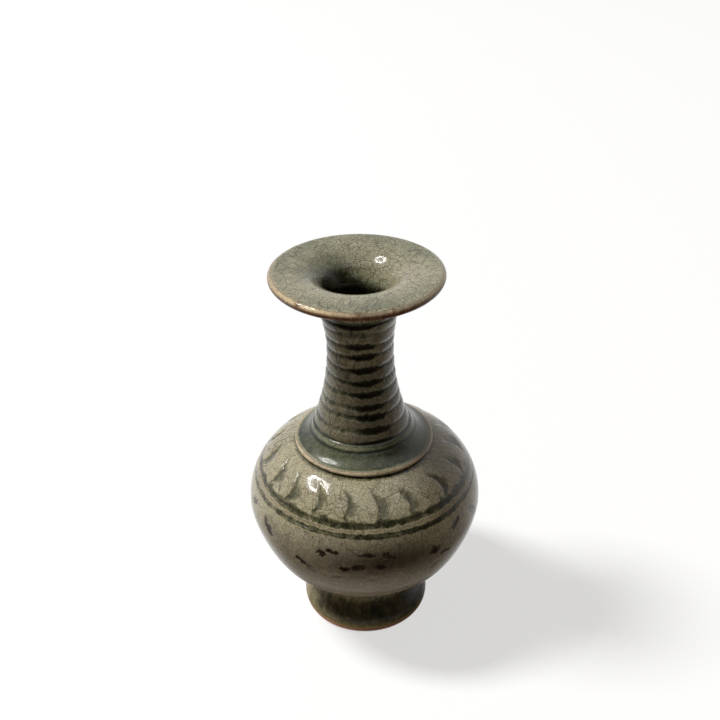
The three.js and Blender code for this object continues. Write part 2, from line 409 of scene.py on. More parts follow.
def new_piece(name: str, corners: object, faces: list) -> bpy.types.Object:
    """Makes a mesh object and puts it in the scene.

    Args:
        name: name of the object and of its mesh.
        corners: the vertices, in metres.
        faces: indices of each face's corners.

    Returns:
        The new object.
    """
    mesh = bpy.data.meshes.new(name)
    mesh.from_pydata(corners, [], faces)
    piece = bpy.data.objects.new(name, mesh)
    bpy.context.scene.collection.objects.link(piece)
    return piece


def srgb(red: int, green: int, blue: int) -> tuple:
    """Colour of a paint chip in 0 to 255 steps, as a linear colour with alpha."""
    def linear(step: int) -> float:
        """One channel in linear light."""
        share = step / 255.0
        return share / 12.92 if share <= 0.04045 else ((share + 0.055) / 1.055) ** 2.4
    return (linear(red), linear(green), linear(blue), 1.0)


def new_group(name: str, inputs: list, outputs: list) -> tuple:
    """Starts a node group.

    Args:
        name: the group's name.
        inputs: pairs of a socket's name and kind.
        outputs: pairs of a socket's name and kind.

    Returns:
        The group, a graph on it, its input node and its output node.
    """
    group = bpy.data.node_groups.new(name, "ShaderNodeTree")
    for label, kind in inputs:
        group.interface.new_socket(label, in_out="INPUT", socket_type=kind)
    for label, kind in outputs:
        group.interface.new_socket(label, in_out="OUTPUT", socket_type=kind)
    graph = Graph(group)
    return group, graph, graph.node("NodeGroupInput"), graph.node("NodeGroupOutput")


NUMBER = "NodeSocketFloat"
VECTOR = "NodeSocketVector"


# Each generation of cracks: its scale against the cells, its strength and how much of it is gaps.
CRACK_LEVELS = ((0.42, 1.0, 0.0), (1.0, 0.9, 0.05), (1.9, 0.5, 0.35))
FRINGE_WIDTH = 3.5
GAP_BLUR = 0.3


def crackle_group() -> bpy.types.NodeTree:
    """Crackle of a glaze: long cracks, shorter ones that stop at them, and fine ones in places.

    Returns:
        A group that puts out the cracks' mask, the fringe beside them and a value for each cell.
    """
    group, graph, given, result = new_group(
        "glaze_crackle",
        [("At", VECTOR), ("Cells", NUMBER), ("Width", NUMBER), ("Wander", NUMBER)],
        [("Cracks", NUMBER), ("Fringe", NUMBER), ("Cell", NUMBER)],
    )
    at, cells, width = given.outputs["At"], given.outputs["Cells"], given.outputs["Width"]
    bend = graph.noise(at, graph.times(cells, 0.45), 2.0, output="Color")
    centred = graph.vector("SUBTRACT", bend, (0.5, 0.5, 0.5))
    reach = {0: centred, "Scale": given.outputs["Wander"]}
    bent = graph.node("ShaderNodeVectorMath", reach, operation="SCALE").outputs[0]
    spot = graph.vector("ADD", at, bent)
    broken = graph.noise(at, graph.times(cells, 0.5), 1.0)
    masks = []
    fringes = []
    for size, strength, gap in CRACK_LEVELS:
        scale = graph.times(cells, size)
        edge = graph.voronoi(spot, scale, "DISTANCE_TO_EDGE").outputs["Distance"]
        thick = graph.times(width, size)
        inside = graph.math("SUBTRACT", 1.0, graph.ease(edge, 0.0, thick))
        shown = graph.ease(broken, gap, gap + GAP_BLUR)
        masks.append(graph.times(inside, strength, shown))
        halo = graph.times(thick, FRINGE_WIDTH)
        soft = graph.math("SUBTRACT", 1.0, graph.ease(edge, thick, halo))
        fringes.append(graph.times(soft, strength, shown))
        cell = graph.voronoi(spot, scale, "F1").outputs["Color"]
        spot = graph.vector("ADD", spot, cell)
    both = graph.math("MAXIMUM", masks[0], masks[1])
    graph.feed(result.inputs["Cracks"], graph.math("MAXIMUM", both, masks[2], clamp=True))
    graph.feed(result.inputs["Fringe"], graph.math("MAXIMUM", fringes[0], fringes[1], clamp=True))
    split = graph.node("ShaderNodeSeparateColor", {0: cell})
    graph.feed(result.inputs["Cell"], split.outputs[0])
    return group


def speckle_group() -> bpy.types.NodeTree:
    """Fine grain, cloudy patches, level streaks, and iron specks of a wood-ash glaze.

    Returns:
        A group that puts out grain, clouds, patches and streaks as values, and specks as a mask.
    """
    group, graph, given, result = new_group(
        "glaze_speckle",
        [("At", VECTOR)],
        [("Grain", NUMBER), ("Clouds", NUMBER), ("Patches", NUMBER), ("Streaks", NUMBER),
         ("Specks", NUMBER)],
    )
    at = given.outputs["At"]
    drawn = graph.vector("MULTIPLY", at, (1.0, 1.0, 4.0))
    graph.feed(result.inputs["Grain"], graph.noise(at, 1900.0, 2.0, 0.7))
    graph.feed(result.inputs["Clouds"], graph.noise(at, 260.0, 4.0, 0.62))
    graph.feed(result.inputs["Patches"], graph.noise(at, 38.0, 3.0))
    graph.feed(result.inputs["Streaks"], graph.noise(drawn, 170.0, 4.0, 0.6))
    dots = graph.voronoi(at, 210.0, "F1")
    chance = graph.node("ShaderNodeSeparateColor", {0: dots.outputs["Color"]})
    picked = graph.math("GREATER_THAN", chance.outputs[1], 0.93)
    round_dot = graph.math("SUBTRACT", 1.0, graph.ease(dots.outputs["Distance"], 0.04, 0.11))
    graph.feed(result.inputs["Specks"], graph.math("MULTIPLY", picked, round_dot))
    return group


def fuzz_group() -> bpy.types.NodeTree:
    """Blurs and breaks up the edge of a painted mask, as pooled glaze does.

    Returns:
        A group that puts out the broken mask.
    """
    group, graph, given, result = new_group(
        "pooled_edge",
        [("Mask", NUMBER), ("At", VECTOR), ("Fuzz", NUMBER)],
        [("Mask", NUMBER)],
    )
    at = given.outputs["At"]
    coarse = graph.noise(at, 420.0, 3.0, 0.7)
    fine = graph.noise(at, 1600.0, 1.0)
    swing = graph.math("SUBTRACT", graph.math("MULTIPLY_ADD", fine, 0.4, coarse), 0.7)
    depth = graph.times(swing, 2.0, given.outputs["Fuzz"])
    edge = graph.math("MULTIPLY", given.outputs["Mask"], 4.0, clamp=True)
    pushed = graph.math("MULTIPLY_ADD", depth, edge, given.outputs["Mask"])
    graph.feed(result.inputs["Mask"], graph.math("MAXIMUM", pushed, 0.0, clamp=True))
    return group


@dataclass(frozen=True)
class Depths:
    """Colours of the glaze from where it runs thin to where it pools."""

    worn: tuple = srgb(188, 162, 134)
    thin: tuple = srgb(147, 134, 110)
    even: tuple = srgb(182, 175, 147)
    thick: tuple = srgb(118, 115, 88)
    deep: tuple = srgb(52, 54, 38)
    pooled: tuple = srgb(15, 16, 10)

    def stops(self) -> list:
        """Positions and colours along the thickness from 0 to 1."""
        return [
            (0.0, self.worn),
            (0.16, self.thin),
            (0.36, self.even),
            (0.55, self.thick),
            (0.78, self.deep),
            (1.0, self.pooled),
        ]


@dataclass(frozen=True)
class Glaze:
    """Finish of one section: crackled celadon over a grey-brown clay body."""

    name: str
    depths: Depths = Depths()
    cells: float = 250.0
    crack_width: float = 0.045
    wander: float = 0.0013
    crack_depth: float = 0.45
    fringe: float = 0.6
    cell_contrast: float = 0.05
    clouding: float = 0.16
    patching: float = 0.14
    streaking: float = 0.0
    fuzz: float = 0.26
    grain: float = 0.55
    roughness: float = 0.07
    gloss: float = 0.36
    crack_colour: tuple = srgb(40, 36, 25)
    fringe_colour: tuple = srgb(120, 112, 94)
    iron_colour: tuple = srgb(28, 15, 7)
    clay_colour: tuple = srgb(118, 92, 70)
    dark_clay_colour: tuple = srgb(86, 66, 50)
    grain_colour: tuple = srgb(150, 142, 116)
    speck_colour: tuple = srgb(34, 25, 18)
    bump_strength: float = 0.1
    bump_distance: float = 0.35

    def material(self, groups: dict) -> bpy.types.Material:
        """Builds the material.

        Args:
            groups: the shared node groups by name.

        Returns:
            The finished procedural material.
        """
        material, graph = new_material(self.name)
        at = graph.node("ShaderNodeAttribute", attribute_name="glaze_at").outputs["Vector"]
        place = graph.node("ShaderNodeTexCoord").outputs["Object"]
        # This layer of how thick the glaze lies also holds painted shade and light, and the iron
        # layer holds painted shade on the bowl.
        thickness, bare, iron = (graph.layer(name) for name in ("thickness", "bare", "iron"))

        given = {"At": at, "Cells": self.cells, "Width": self.crack_width, "Wander": self.wander}
        crackle = graph.node("ShaderNodeGroup", given, node_tree=groups["crackle"])
        speckle = graph.node("ShaderNodeGroup", {"At": place}, node_tree=groups["speckle"])
        pooled, rust_and_shade = (
            graph.node("ShaderNodeGroup", {"Mask": mask, "At": place, "Fuzz": self.fuzz},
                       node_tree=groups["fuzz"]).outputs["Mask"]
            for mask in (thickness, iron)
        )

        clouds = graph.centred(speckle.outputs["Clouds"], self.clouding)
        patches = graph.centred(speckle.outputs["Patches"], self.patching)
        streaks = graph.centred(speckle.outputs["Streaks"], self.streaking)
        cell = graph.centred(crackle.outputs["Cell"], self.cell_contrast)
        uneven = graph.math("ADD", graph.math("ADD", patches, streaks), cell)
        depth = graph.math("ADD", graph.math("ADD", pooled, clouds), uneven, clamp=True)
        ramp = graph.node("ShaderNodeValToRGB", {"Fac": depth})
        stops = self.depths.stops()
        while len(ramp.color_ramp.elements) < len(stops):
            ramp.color_ramp.elements.new(1.0)
        for element, (position, colour) in zip(ramp.color_ramp.elements, stops):
            element.position = position
            element.color = colour
        colour = ramp.outputs["Color"]

        grain = graph.ease(speckle.outputs["Grain"], 0.36, 0.68)
        colour = graph.mix(graph.times(grain, self.grain), colour, self.grain_colour, "MULTIPLY")
        colour = graph.mix(rust_and_shade, colour, self.iron_colour)
        fit = graph.ease(thickness, 0.1, 0.3)
        light = graph.ease(speckle.outputs["Patches"], 0.38, 0.6)
        pale = graph.math("SUBTRACT", fit, graph.ease(thickness, 0.5, 0.8))
        fringe = graph.math("MULTIPLY", graph.times(crackle.outputs["Fringe"], pale), self.fringe,
                            clamp=True)
        colour = graph.mix(graph.times(fringe, light), colour, self.fringe_colour, "SCREEN")
        cracks = graph.times(crackle.outputs["Cracks"], fit, self.crack_depth)
        colour = graph.mix(cracks, colour, self.crack_colour)
        specks = graph.times(speckle.outputs["Specks"], 0.8)
        colour = graph.mix(specks, colour, self.speck_colour)
        clay = graph.mix(speckle.outputs["Clouds"], self.clay_colour, self.dark_clay_colour)
        colour = graph.mix(bare, colour, clay)

        rough = graph.math("MULTIPLY_ADD", speckle.outputs["Clouds"], 0.03, self.roughness)
        rough = graph.math("MULTIPLY_ADD", bare, 0.6, rough)
        rough = graph.math("MULTIPLY_ADD", cracks, 0.2, rough, clamp=True)

        height = graph.times(graph.noise(at, 330.0, 2.0), 0.06)
        height = graph.math("MULTIPLY_ADD", speckle.outputs["Grain"], 0.012, height)
        height = graph.math("MULTIPLY_ADD", cracks, -0.03, height)
        height = graph.math("MULTIPLY_ADD", graph.times(bare, grain), 1.6, height)
        bump = graph.node("ShaderNodeBump", {
            "Strength": self.bump_strength, "Distance": self.bump_distance * MM, "Height": height,
        })
        shader = graph.node("ShaderNodeBsdfPrincipled", {
            "Specular IOR Level": self.gloss, "Base Color": colour, "Roughness": rough,
            "Normal": bump.outputs["Normal"],
        })
        graph.node("ShaderNodeOutputMaterial", {"Surface": shader.outputs["BSDF"]})
        return material


@dataclass
class Skin:
    """Relief of a section's outer face and what lies on it, as grids by row and column."""

    offset: np.ndarray
    # How thick the glaze lies, with painted shade and light in it; the iron also holds painted shade
    # on the bowl.
    thickness: np.ndarray
    iron: np.ndarray | float = 0.0


@dataclass
class Section:
    """One thrown section of the vase. Sizes are in millimetres."""

    node: str
    glaze: Glaze
    slot: Slot = Slot.CELADON
    columns: int = 480
    push: Push = Push.NORMAL
    leans: bool = False
    crackle_radius: float = 0.0
    crackle_stretch: float = 1.0
    inner_thickness: float = 0.75

    def stretches(self) -> list:
        """Runs of the outline, from the foot of the outer face round to it again."""
        raise NotImplementedError

    def relief(self, height: np.ndarray, azimuth: np.ndarray) -> Skin:
        """Relief of the outer face.

        Args:
            height: heights of the rows, as a column.
            azimuth: azimuths of the columns in degrees, as a row.

        Returns:
            The offset outwards in millimetres, how thick the glaze lies with painted shade and light
            in it, and the iron in it, which on the bowl also holds painted shade.
        """
        raise NotImplementedError

    def build(self) -> bpy.types.Object:
        """Builds the section's mesh.

        Returns:
            The new object.
        """
        rows = Rows.of(self.stretches())
        turn = np.linspace(0.0, FULL_TURN, self.columns, endpoint=False)[None, :]
        radius = rows.points[:, :1] + np.zeros_like(turn)
        height = rows.points[:, 1:] + np.zeros_like(turn)
        azimuth = (np.degrees(turn) + 180.0) % 360.0 - 180.0
        skin = self.relief(rows.points[:, 1:], azimuth)
        offset = np.where(rows.on(Face.OUTER), skin.offset, 0.0)
        if self.push is Push.RADIAL:
            radius = radius + offset
        else:
            radius = radius + offset * rows.normals[:, :1]
            height = height + offset * rows.normals[:, 1:]
        on_axis = rows.points[:, :1] < ON_AXIS
        radius = np.where(on_axis, 0.0, radius + THROWING.wavering(height, turn))
        lean = THROWING.drift(height) if self.leans else 0.0
        x, y, z = self.settle(radius * np.sin(turn) - lean, -radius * np.cos(turn), height)
        grid = np.stack([x, y, z], axis=-1) * MM
        bare = np.where(rows.on(Face.BARE), 1.0, 0.0) + np.zeros_like(radius)
        layers = {
            "thickness": np.where(rows.on(Face.OUTER), skin.thickness, self.inner_thickness),
            "iron": np.where(rows.on(Face.OUTER), skin.iron, 0.0) + np.zeros_like(radius),
            "bare": bare,
        }
        return self.mesh_of(grid, rows, layers, self.glaze_place(grid, rows, turn))

    def settle(self, x: np.ndarray, y: np.ndarray, z: np.ndarray) -> tuple:
        """Last small move of the whole section. It stays where it is here."""
        return x, y, z

    def glaze_place(self, grid: np.ndarray, rows: Rows, turn: np.ndarray) -> np.ndarray:
        """Where the crackle pattern is read, in metres.

        Args:
            grid: the section's points.
            rows: its outline.
            turn: azimuths of the columns in radians.

        Returns:
            One point for each vertex, on a cylinder where the section has a crackle radius.
        """
        if self.crackle_radius <= 0.0:
            return grid
        along = rows.along[:, None] * self.crackle_stretch + np.zeros_like(turn)
        ring = self.crackle_radius + np.zeros_like(along)
        return np.stack([ring * np.sin(turn), -ring * np.cos(turn), along], axis=-1) * MM

    def mesh_of(
        self, grid: np.ndarray, rows: Rows, layers: dict, place: np.ndarray
    ) -> bpy.types.Object:
        """Turns a grid of points into a closed mesh.

        Args:
            grid: points by row and column.
            rows: the outline that the rows follow.
            layers: values to keep on the vertices, by name.
            place: where the crackle pattern is read.

        Returns:
            The new object.
        """
        count, columns = grid.shape[:2]
        index = np.arange(count * columns).reshape(count, columns)
        for pole in () if rows.closed else (0, count - 1):
            index[pole, :] = index[pole, 0]
        keep, compact = np.unique(index, return_inverse=True)
        index = compact.reshape(index.shape)
        below = index if rows.closed else index[:-1]
        above = np.roll(index, -1, axis=0) if rows.closed else index[1:]
        quads = np.stack(
            [below, np.roll(below, -1, axis=1), np.roll(above, -1, axis=1), above], axis=-1
        ).reshape(-1, 4)
        flat = (quads[:, 0] == quads[:, 1]) | (quads[:, 2] == quads[:, 3])
        faces = [list(dict.fromkeys(quad)) for quad in quads[flat].tolist()]
        faces += quads[~flat].tolist()
        piece = new_piece(self.node + "_glazed", grid.reshape(-1, 3)[keep], faces)
        mesh = piece.data
        for name, values in layers.items():
            layer = mesh.attributes.new(name, "FLOAT", "POINT")
            layer.data.foreach_set("value", values.reshape(-1)[keep].astype(np.float32))
        spots = mesh.attributes.new("glaze_at", "FLOAT_VECTOR", "POINT")
        spots.data.foreach_set("vector", place.reshape(-1, 3)[keep].ravel().astype(np.float32))
        mesh.shade_smooth()
        mesh.set_sharp_from_angle(angle=math.radians(SHARP_ANGLE))
        return piece

    def dress(self, piece: bpy.types.Object, groups: dict) -> None:
        """Gives the piece its glaze and its place in the frame.

        Args:
            piece: the section's object.
            groups: the shared node groups by name.
        """
        piece.data.materials.append(self.glaze.material(groups))
        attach(piece, "root")
        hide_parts(self.node)
        log.info("%s: %d faces in %s", piece.name, len(piece.data.polygons), self.slot.value)


@dataclass
class FootRing(Section):
    """Splayed foot with an open recess and a bare resting edge."""

    widest_radius: float = 25.1
    widest_height: float = 4.5
    top_radius: float = 20.6
    resting_radius: float = 22.9
    resting_width: float = 3.4
    seat_width: float = 5.0
    bevel_width: float = 1.6
    bevel_height: float = 2.4
    painted_shade_front: float = 28.0
    drip_seed: int = 11

    def stretches(self) -> list:
        """Toe, cove, seat, recess, bevel and resting face."""
        top = top_of(self.node)
        rise = top - self.widest_height
        inner = self.resting_radius - self.resting_width
        toe = arc(
            (self.resting_radius, self.widest_height),
            (self.widest_radius - self.resting_radius, self.widest_height), -90.0, 0.0,
        )
        cove = bezier(
            (self.widest_radius, self.widest_height),
            (self.widest_radius, self.widest_height + rise * 0.45),
            (self.top_radius, top - rise * 0.48), (self.top_radius, top),
        )
        return [
            Stretch(np.concatenate([toe, cove[1:]]), 0.35, Face.OUTER),
            seam_between((self.top_radius, top), (self.top_radius - self.seat_width, top), 3.0),
            Stretch(line((self.top_radius - self.seat_width, top),
                         (inner - self.bevel_width, self.bevel_height)), 2.0, Face.INNER),
            Stretch(line((inner - self.bevel_width, self.bevel_height), (inner, 0.0)),
                    0.6, Face.BARE),
            Stretch(line((inner, 0.0), (self.resting_radius, 0.0)), 0.8, Face.BARE),
        ]

    def relief(self, height: np.ndarray, azimuth: np.ndarray) -> Skin:
        """Turning marks, and a glaze that pools in a dark belt above a thin lower edge. The belt is
        much darker towards the front, which is painted shade.
        """
        turn = np.radians(azimuth)
        marks = 0.02 * np.sin(height * 2.6 + 0.6 * np.sin(turn)) * smoothstep(height, 2.0, 6.0)
        rng = np.random.default_rng(self.drip_seed)
        drips = np.zeros_like(turn)
        for waves in range(3, 90, 4):
            lean = rng.uniform(-0.05, 0.05) * height
            drips = drips + np.sin(waves * turn + lean + rng.uniform(0.0, FULL_TURN)) / waves**0.6
        drips = drips / np.abs(drips).max()
        uneven = ripple(height, azimuth, 4.0, 51)
        # Painted shade: the dark belt is made much darker towards the front than at the sides.
        front = (0.5 + 0.5 * np.cos(turn - math.radians(self.painted_shade_front))) ** 2
        drips = drips * (1.0 - 0.7 * smoothstep(height, 9.5, 13.0))
        belt = smoothstep(height, 3.2 + 1.4 * drips, 8.2 + 1.6 * drips)
        belt = belt * (1.0 - 0.55 * smoothstep(height, 11.6 + drips, 15.5 + drips))
        thickness = 0.47 + 0.14 * drips + 0.04 * uneven + (0.06 + 0.38 * front) * belt
        edge = falling(height, 2.7, 4.2 + 0.4 * drips)
        thickness = thickness * (1.0 - edge) + 0.05 * edge
        clear = falling(height, 14.0, 16.0)
        return Skin(marks * clear, np.clip(thickness, 0.02, 1.0))


@dataclass(frozen=True)
class Incised:
    """A wavering line incised round the body."""

    depth: float = 0.05
    half_width: float = 0.8
    pool_inside: float = 0.45
    pool_outside: float = 1.4
    waver: float = 0.14
    dark_front: float = 18.0

    def at(self, middle: float, height: np.ndarray, azimuth: np.ndarray) -> tuple:
        """Depth of the line and how much glaze pools in it.

        Args:
            middle: height of the line.
            height: heights of the rows.
            azimuth: azimuths of the columns.

        Returns:
            The depth in millimetres and the pooled share, as grids.
        """
        turn = np.radians(azimuth)
        swing = np.sin(3 * turn + middle) + 0.6 * np.sin(8 * turn + 2 * middle)
        away = height - middle - self.waver * swing
        away = away + 0.16 * ripple(height, azimuth, 3.0, 21)
        front = bell(azimuth_gap(azimuth, self.dark_front), 50.0)
        fill = 0.62 + 0.3 * front + 0.16 * ripple(height, azimuth, 5.0, 22)
        fill = np.clip(fill, 0.0, 1.0)
        pool = falling(np.abs(away), self.pool_inside, self.pool_outside)
        return self.depth * bell(away, self.half_width), fill * pool


@dataclass(frozen=True)
class Body:
    """The body's outline, which the bowl and the shoulder share."""

    girth_radius: float = 44.6
    belly_rise: float = 37.5
    shoulder_rise: float = 27.1
    shoulder_reach: float = 30.6
    wall: float = 4.0
    line_spacing: float = 3.2
    incised: Incised = Incised()

    def girth(self) -> float:
        """Height of the widest point."""
        return top_of("foot_ring") + self.belly_rise

    def dome(self, first: float, last: float, inset: float) -> np.ndarray:
        """Arc of the dome above the girth.

        Args:
            first: height of the first point.
            last: height of the last point.
            inset: how far inside the outer face the arc lies.

        Returns:
            Points along the arc.
        """
        rise = self.shoulder_rise - inset
        reach = self.shoulder_reach - inset
        centre = (self.girth_radius - self.shoulder_reach, self.girth())
        angles = [math.degrees(math.asin((height - centre[1]) / rise)) for height in (first, last)]
        return arc(centre, (reach, rise), angles[0], angles[1])

    def dome_height(self, radius: float, inset: float) -> float:
        """Height of the dome at a radius."""
        centre = self.girth_radius - self.shoulder_reach
        share = (radius - centre) / (self.shoulder_reach - inset)
        return self.girth() + (self.shoulder_rise - inset) * math.sqrt(1.0 - share * share)

    def lines(self, height: np.ndarray, azimuth: np.ndarray) -> tuple:
        """Depth of both incised lines and the glaze pooled in them."""
        lower = bottom_of("shoulder")
        low = self.incised.at(lower, height, azimuth)
        high = self.incised.at(lower + self.line_spacing, height, azimuth)
        return low[0] + high[0], np.maximum(low[1], high[1])


BODY = Body()


@dataclass(frozen=True)
class Dab:
    """A leaf of the carved scroll: a short gouge, widest in the middle."""

    azimuth: float
    height: float
    length: float
    breadth: float
    slant: float = 0.0

    def share(self, height: np.ndarray, azimuth: np.ndarray, radius: float) -> np.ndarray:
        """How deep each point lies in the gouge.

        Args:
            height: heights of the rows.
            azimuth: azimuths of the columns.
            radius: the belly's radius here.

        Returns:
            A grid from 0 outside the gouge to 1 at its middle.
        """
        across = azimuth_gap(azimuth, self.azimuth) * math.pi / 180.0 * radius
        up = height - self.height + np.zeros_like(across)
        tilt = math.radians(self.slant)
        run = across * math.cos(tilt) + up * math.sin(tilt)
        side = up * math.cos(tilt) - across * math.sin(tilt)
        side = side - 0.16 * run * run / self.length
        taper = np.clip(1.0 - np.abs(run / (self.length * 0.58)) ** 2.2, 0.0, 1.0)
        rim = np.clip(1.0 - (side / (self.breadth * 0.62 * np.sqrt(taper) + 1e-6)) ** 2, 0.0, 1.0)
        return rim * np.sqrt(taper)


@dataclass(frozen=True)
class Scroll:
    """The carved leaf scroll round the belly, one motif repeated."""

    repeats: int = 3
    depth: float = 0.16
    raggedness: float = 0.45
    leaves: tuple = (
        Dab(-21.4, 58.4, 3.9, 2.0),
        Dab(-15.5, 59.6, 4.6, 1.4),
        Dab(0.5, 59.2, 5.9, 1.5),
        Dab(10.9, 58.3, 4.6, 2.0, -22.0),
        Dab(-10.0, 52.7, 3.6, 2.4),
        Dab(-3.6, 53.9, 4.6, 3.1, 8.0),
        Dab(7.3, 53.8, 3.8, 2.7, -10.0),
        Dab(-32.3, 51.6, 4.0, 2.2, -35.0),
        Dab(-27.3, 49.1, 4.8, 2.2, -52.0),
        Dab(-14.1, 47.8, 5.4, 1.6, 16.0),
        Dab(-4.5, 49.1, 4.4, 2.3, 6.0),
        Dab(3.6, 47.2, 3.4, 2.7, -14.0),
        Dab(34.1, 55.1, 4.8, 3.2, 14.0),
        Dab(49.1, 60.8, 5.2, 2.0, 22.0),
        Dab(40.9, 51.9, 4.4, 1.9, -8.0),
        Dab(35.5, 46.6, 4.4, 3.0, 20.0),
        Dab(-54.5, 58.0, 7.6, 2.8, -42.0),
    )
    stems: tuple = (
        Dab(-18.5, 53.7, 11.0, 0.8, 4.0),
        Dab(-11.0, 48.9, 9.0, 0.7, 10.0),
        Dab(43.5, 53.9, 11.0, 0.8, -6.0),
        Dab(4.0, 56.4, 12.0, 0.6, -3.0),
        Dab(-42.0, 54.6, 9.0, 0.7, -30.0),
    )

    def carve(self, height: np.ndarray, azimuth: np.ndarray) -> tuple:
        """Cuts the scroll.

        Args:
            height: heights of the rows.
            azimuth: azimuths of the columns.

        Returns:
            The depth in millimetres and how dark the iron in it is, as grids.
        """
        leaf = np.zeros(np.broadcast(height, azimuth).shape)
        stem = np.zeros_like(leaf)
        radius = BODY.girth_radius
        height = height + self.raggedness * ripple(height, azimuth, 2.4, 31)
        azimuth = azimuth + self.raggedness * ripple(height, azimuth, 2.8, 32)
        faint = 0.4 + 0.6 * smoothstep(height, 48.5, 51.5)
        for repeat in range(self.repeats):
            turned = azimuth - repeat * 360.0 / self.repeats
            for dab in self.leaves:
                leaf = np.maximum(leaf, dab.share(height, turned, radius))
            for dab in self.stems:
                stem = np.maximum(stem, dab.share(height, turned, radius))
        dark = np.maximum(smoothstep(leaf, 0.0, 0.4) * faint, 0.35 * smoothstep(stem, 0.0, 0.9))
        return self.depth * np.maximum(leaf, 0.6 * stem), dark


@dataclass
class Bowl(Section):
    """Floor and round lower body, up to the lower incised line."""

    underbelly_radius: float = 35.0
    underbelly_rise: float = 13.3
    overhang: float = 0.6
    foot_radius: float = 20.6
    seat_width: float = 5.0
    base_dip: float = 2.6
    base_clearance: float = 0.4
    floor_thickness: float = 5.0
    floor_radius: float = 11.0
    edge_round: float = 0.5
    scroll: Scroll = Scroll()
    line_thickness: float = 0.82
    patch_and_shade_azimuth: float = 12.0
    patch_and_shade_height: float = 55.5

    def belly(self, start: tuple, inset: float) -> np.ndarray:
        """Lower half of the body.

        Args:
            start: radius and height of the lowest point.
            inset: how far inside the outer face the curve lies.

        Returns:
            Points from the lowest one up to the girth.
        """
        slant = math.sqrt(0.5)
        top = (BODY.girth_radius - inset, BODY.girth())
        middle = (
            self.underbelly_radius - inset * slant,
            top_of("foot_ring") + self.underbelly_rise + inset * slant,
        )
        pull = math.dist(middle, start) / 3.0
        rise = top[1] - middle[1]
        lower = bezier(
            start, (start[0] + pull * 0.76, start[1] + pull * 0.65),
            (middle[0] - pull * slant, middle[1] - pull * slant), middle,
        )
        upper = bezier(
            middle, (middle[0] + rise * 0.175, middle[1] + rise * 0.175),
            (top[0], top[1] - rise * 0.27), top,
        )
        return np.concatenate([lower, upper[1:]])

    def stretches(self) -> list:
        """Base, seat, belly, seam, and the inside down to the floor's middle."""
        seat = top_of("foot_ring")
        recess = self.foot_radius - self.seat_width - self.base_clearance
        floor = seat - self.base_dip + self.floor_thickness
        seam = bottom_of("shoulder")
        edge = self.foot_radius + self.overhang
        belly = self.belly((edge, seat), 0.0)
        turned = belly[belly[:, 1] > seat + self.edge_round]
        lip = bezier(
            (edge - self.edge_round, seat), (edge, seat), (edge, seat), tuple(turned[0])
        )
        outer = np.concatenate([lip, turned[1:], BODY.dome(BODY.girth(), seam, 0.0)[1:]])
        inside = BODY.dome(seam, BODY.girth(), BODY.wall)
        below = self.belly((self.floor_radius, floor), BODY.wall)[::-1]
        return [
            Stretch(arc((0.0, seat), (recess, self.base_dip), -90.0, 0.0), 1.6, Face.INNER),
            seam_between((recess, seat), lip[0], 3.0),
            Stretch(outer, 0.36, Face.OUTER),
            seam_between(outer[-1], inside[0], 4.5),
            Stretch(np.concatenate([inside, below[1:], line((0.0, floor))]), 2.0, Face.INNER),
        ]

    def relief(self, height: np.ndarray, azimuth: np.ndarray) -> Skin:
        """Leaf scroll, incised line, turning marks, a glaze that thins downwards and is painted
        lighter low on the belly, and a darker patch on the front that is partly painted shade.
        """
        turn = np.radians(azimuth)
        seat = top_of("foot_ring")
        line_depth, line_pool = BODY.lines(height, azimuth)
        cut, iron = self.scroll.carve(height, azimuth)
        marks = 0.015 * np.sin(height * 1.9 + 0.8 * np.sin(turn + 0.4))
        clear = smoothstep(height, seat + 1.0, seat + 5.0)
        clear = clear * falling(height, BODY.girth() - 6.0, BODY.girth() - 1.0)
        # Lighter low on the belly: partly thinner glaze, partly painted light that stands in for
        # light from the floor.
        low = falling(height, seat + 4.0, seat + 22.0)
        high = smoothstep(height, BODY.girth() - 1.0, BODY.girth() + 9.0)
        thickness = 0.17 + 0.14 * high - 0.14 * low + 0.03 * np.sin(3 * turn + height * 0.1)
        thickness = towards(thickness, self.line_thickness, line_pool)
        # Darker patch on the front of the belly: partly a darker patch in the glaze, partly painted
        # shade. It goes into the iron mask.
        patch_and_shade = bell(azimuth_gap(azimuth, self.patch_and_shade_azimuth), 34.0)
        patch_and_shade = patch_and_shade * bell(height - self.patch_and_shade_height, 8.5)
        iron = np.maximum(iron, 0.85 * patch_and_shade)
        return Skin(marks * clear - cut - line_depth, np.clip(thickness, 0.0, 1.0), iron)


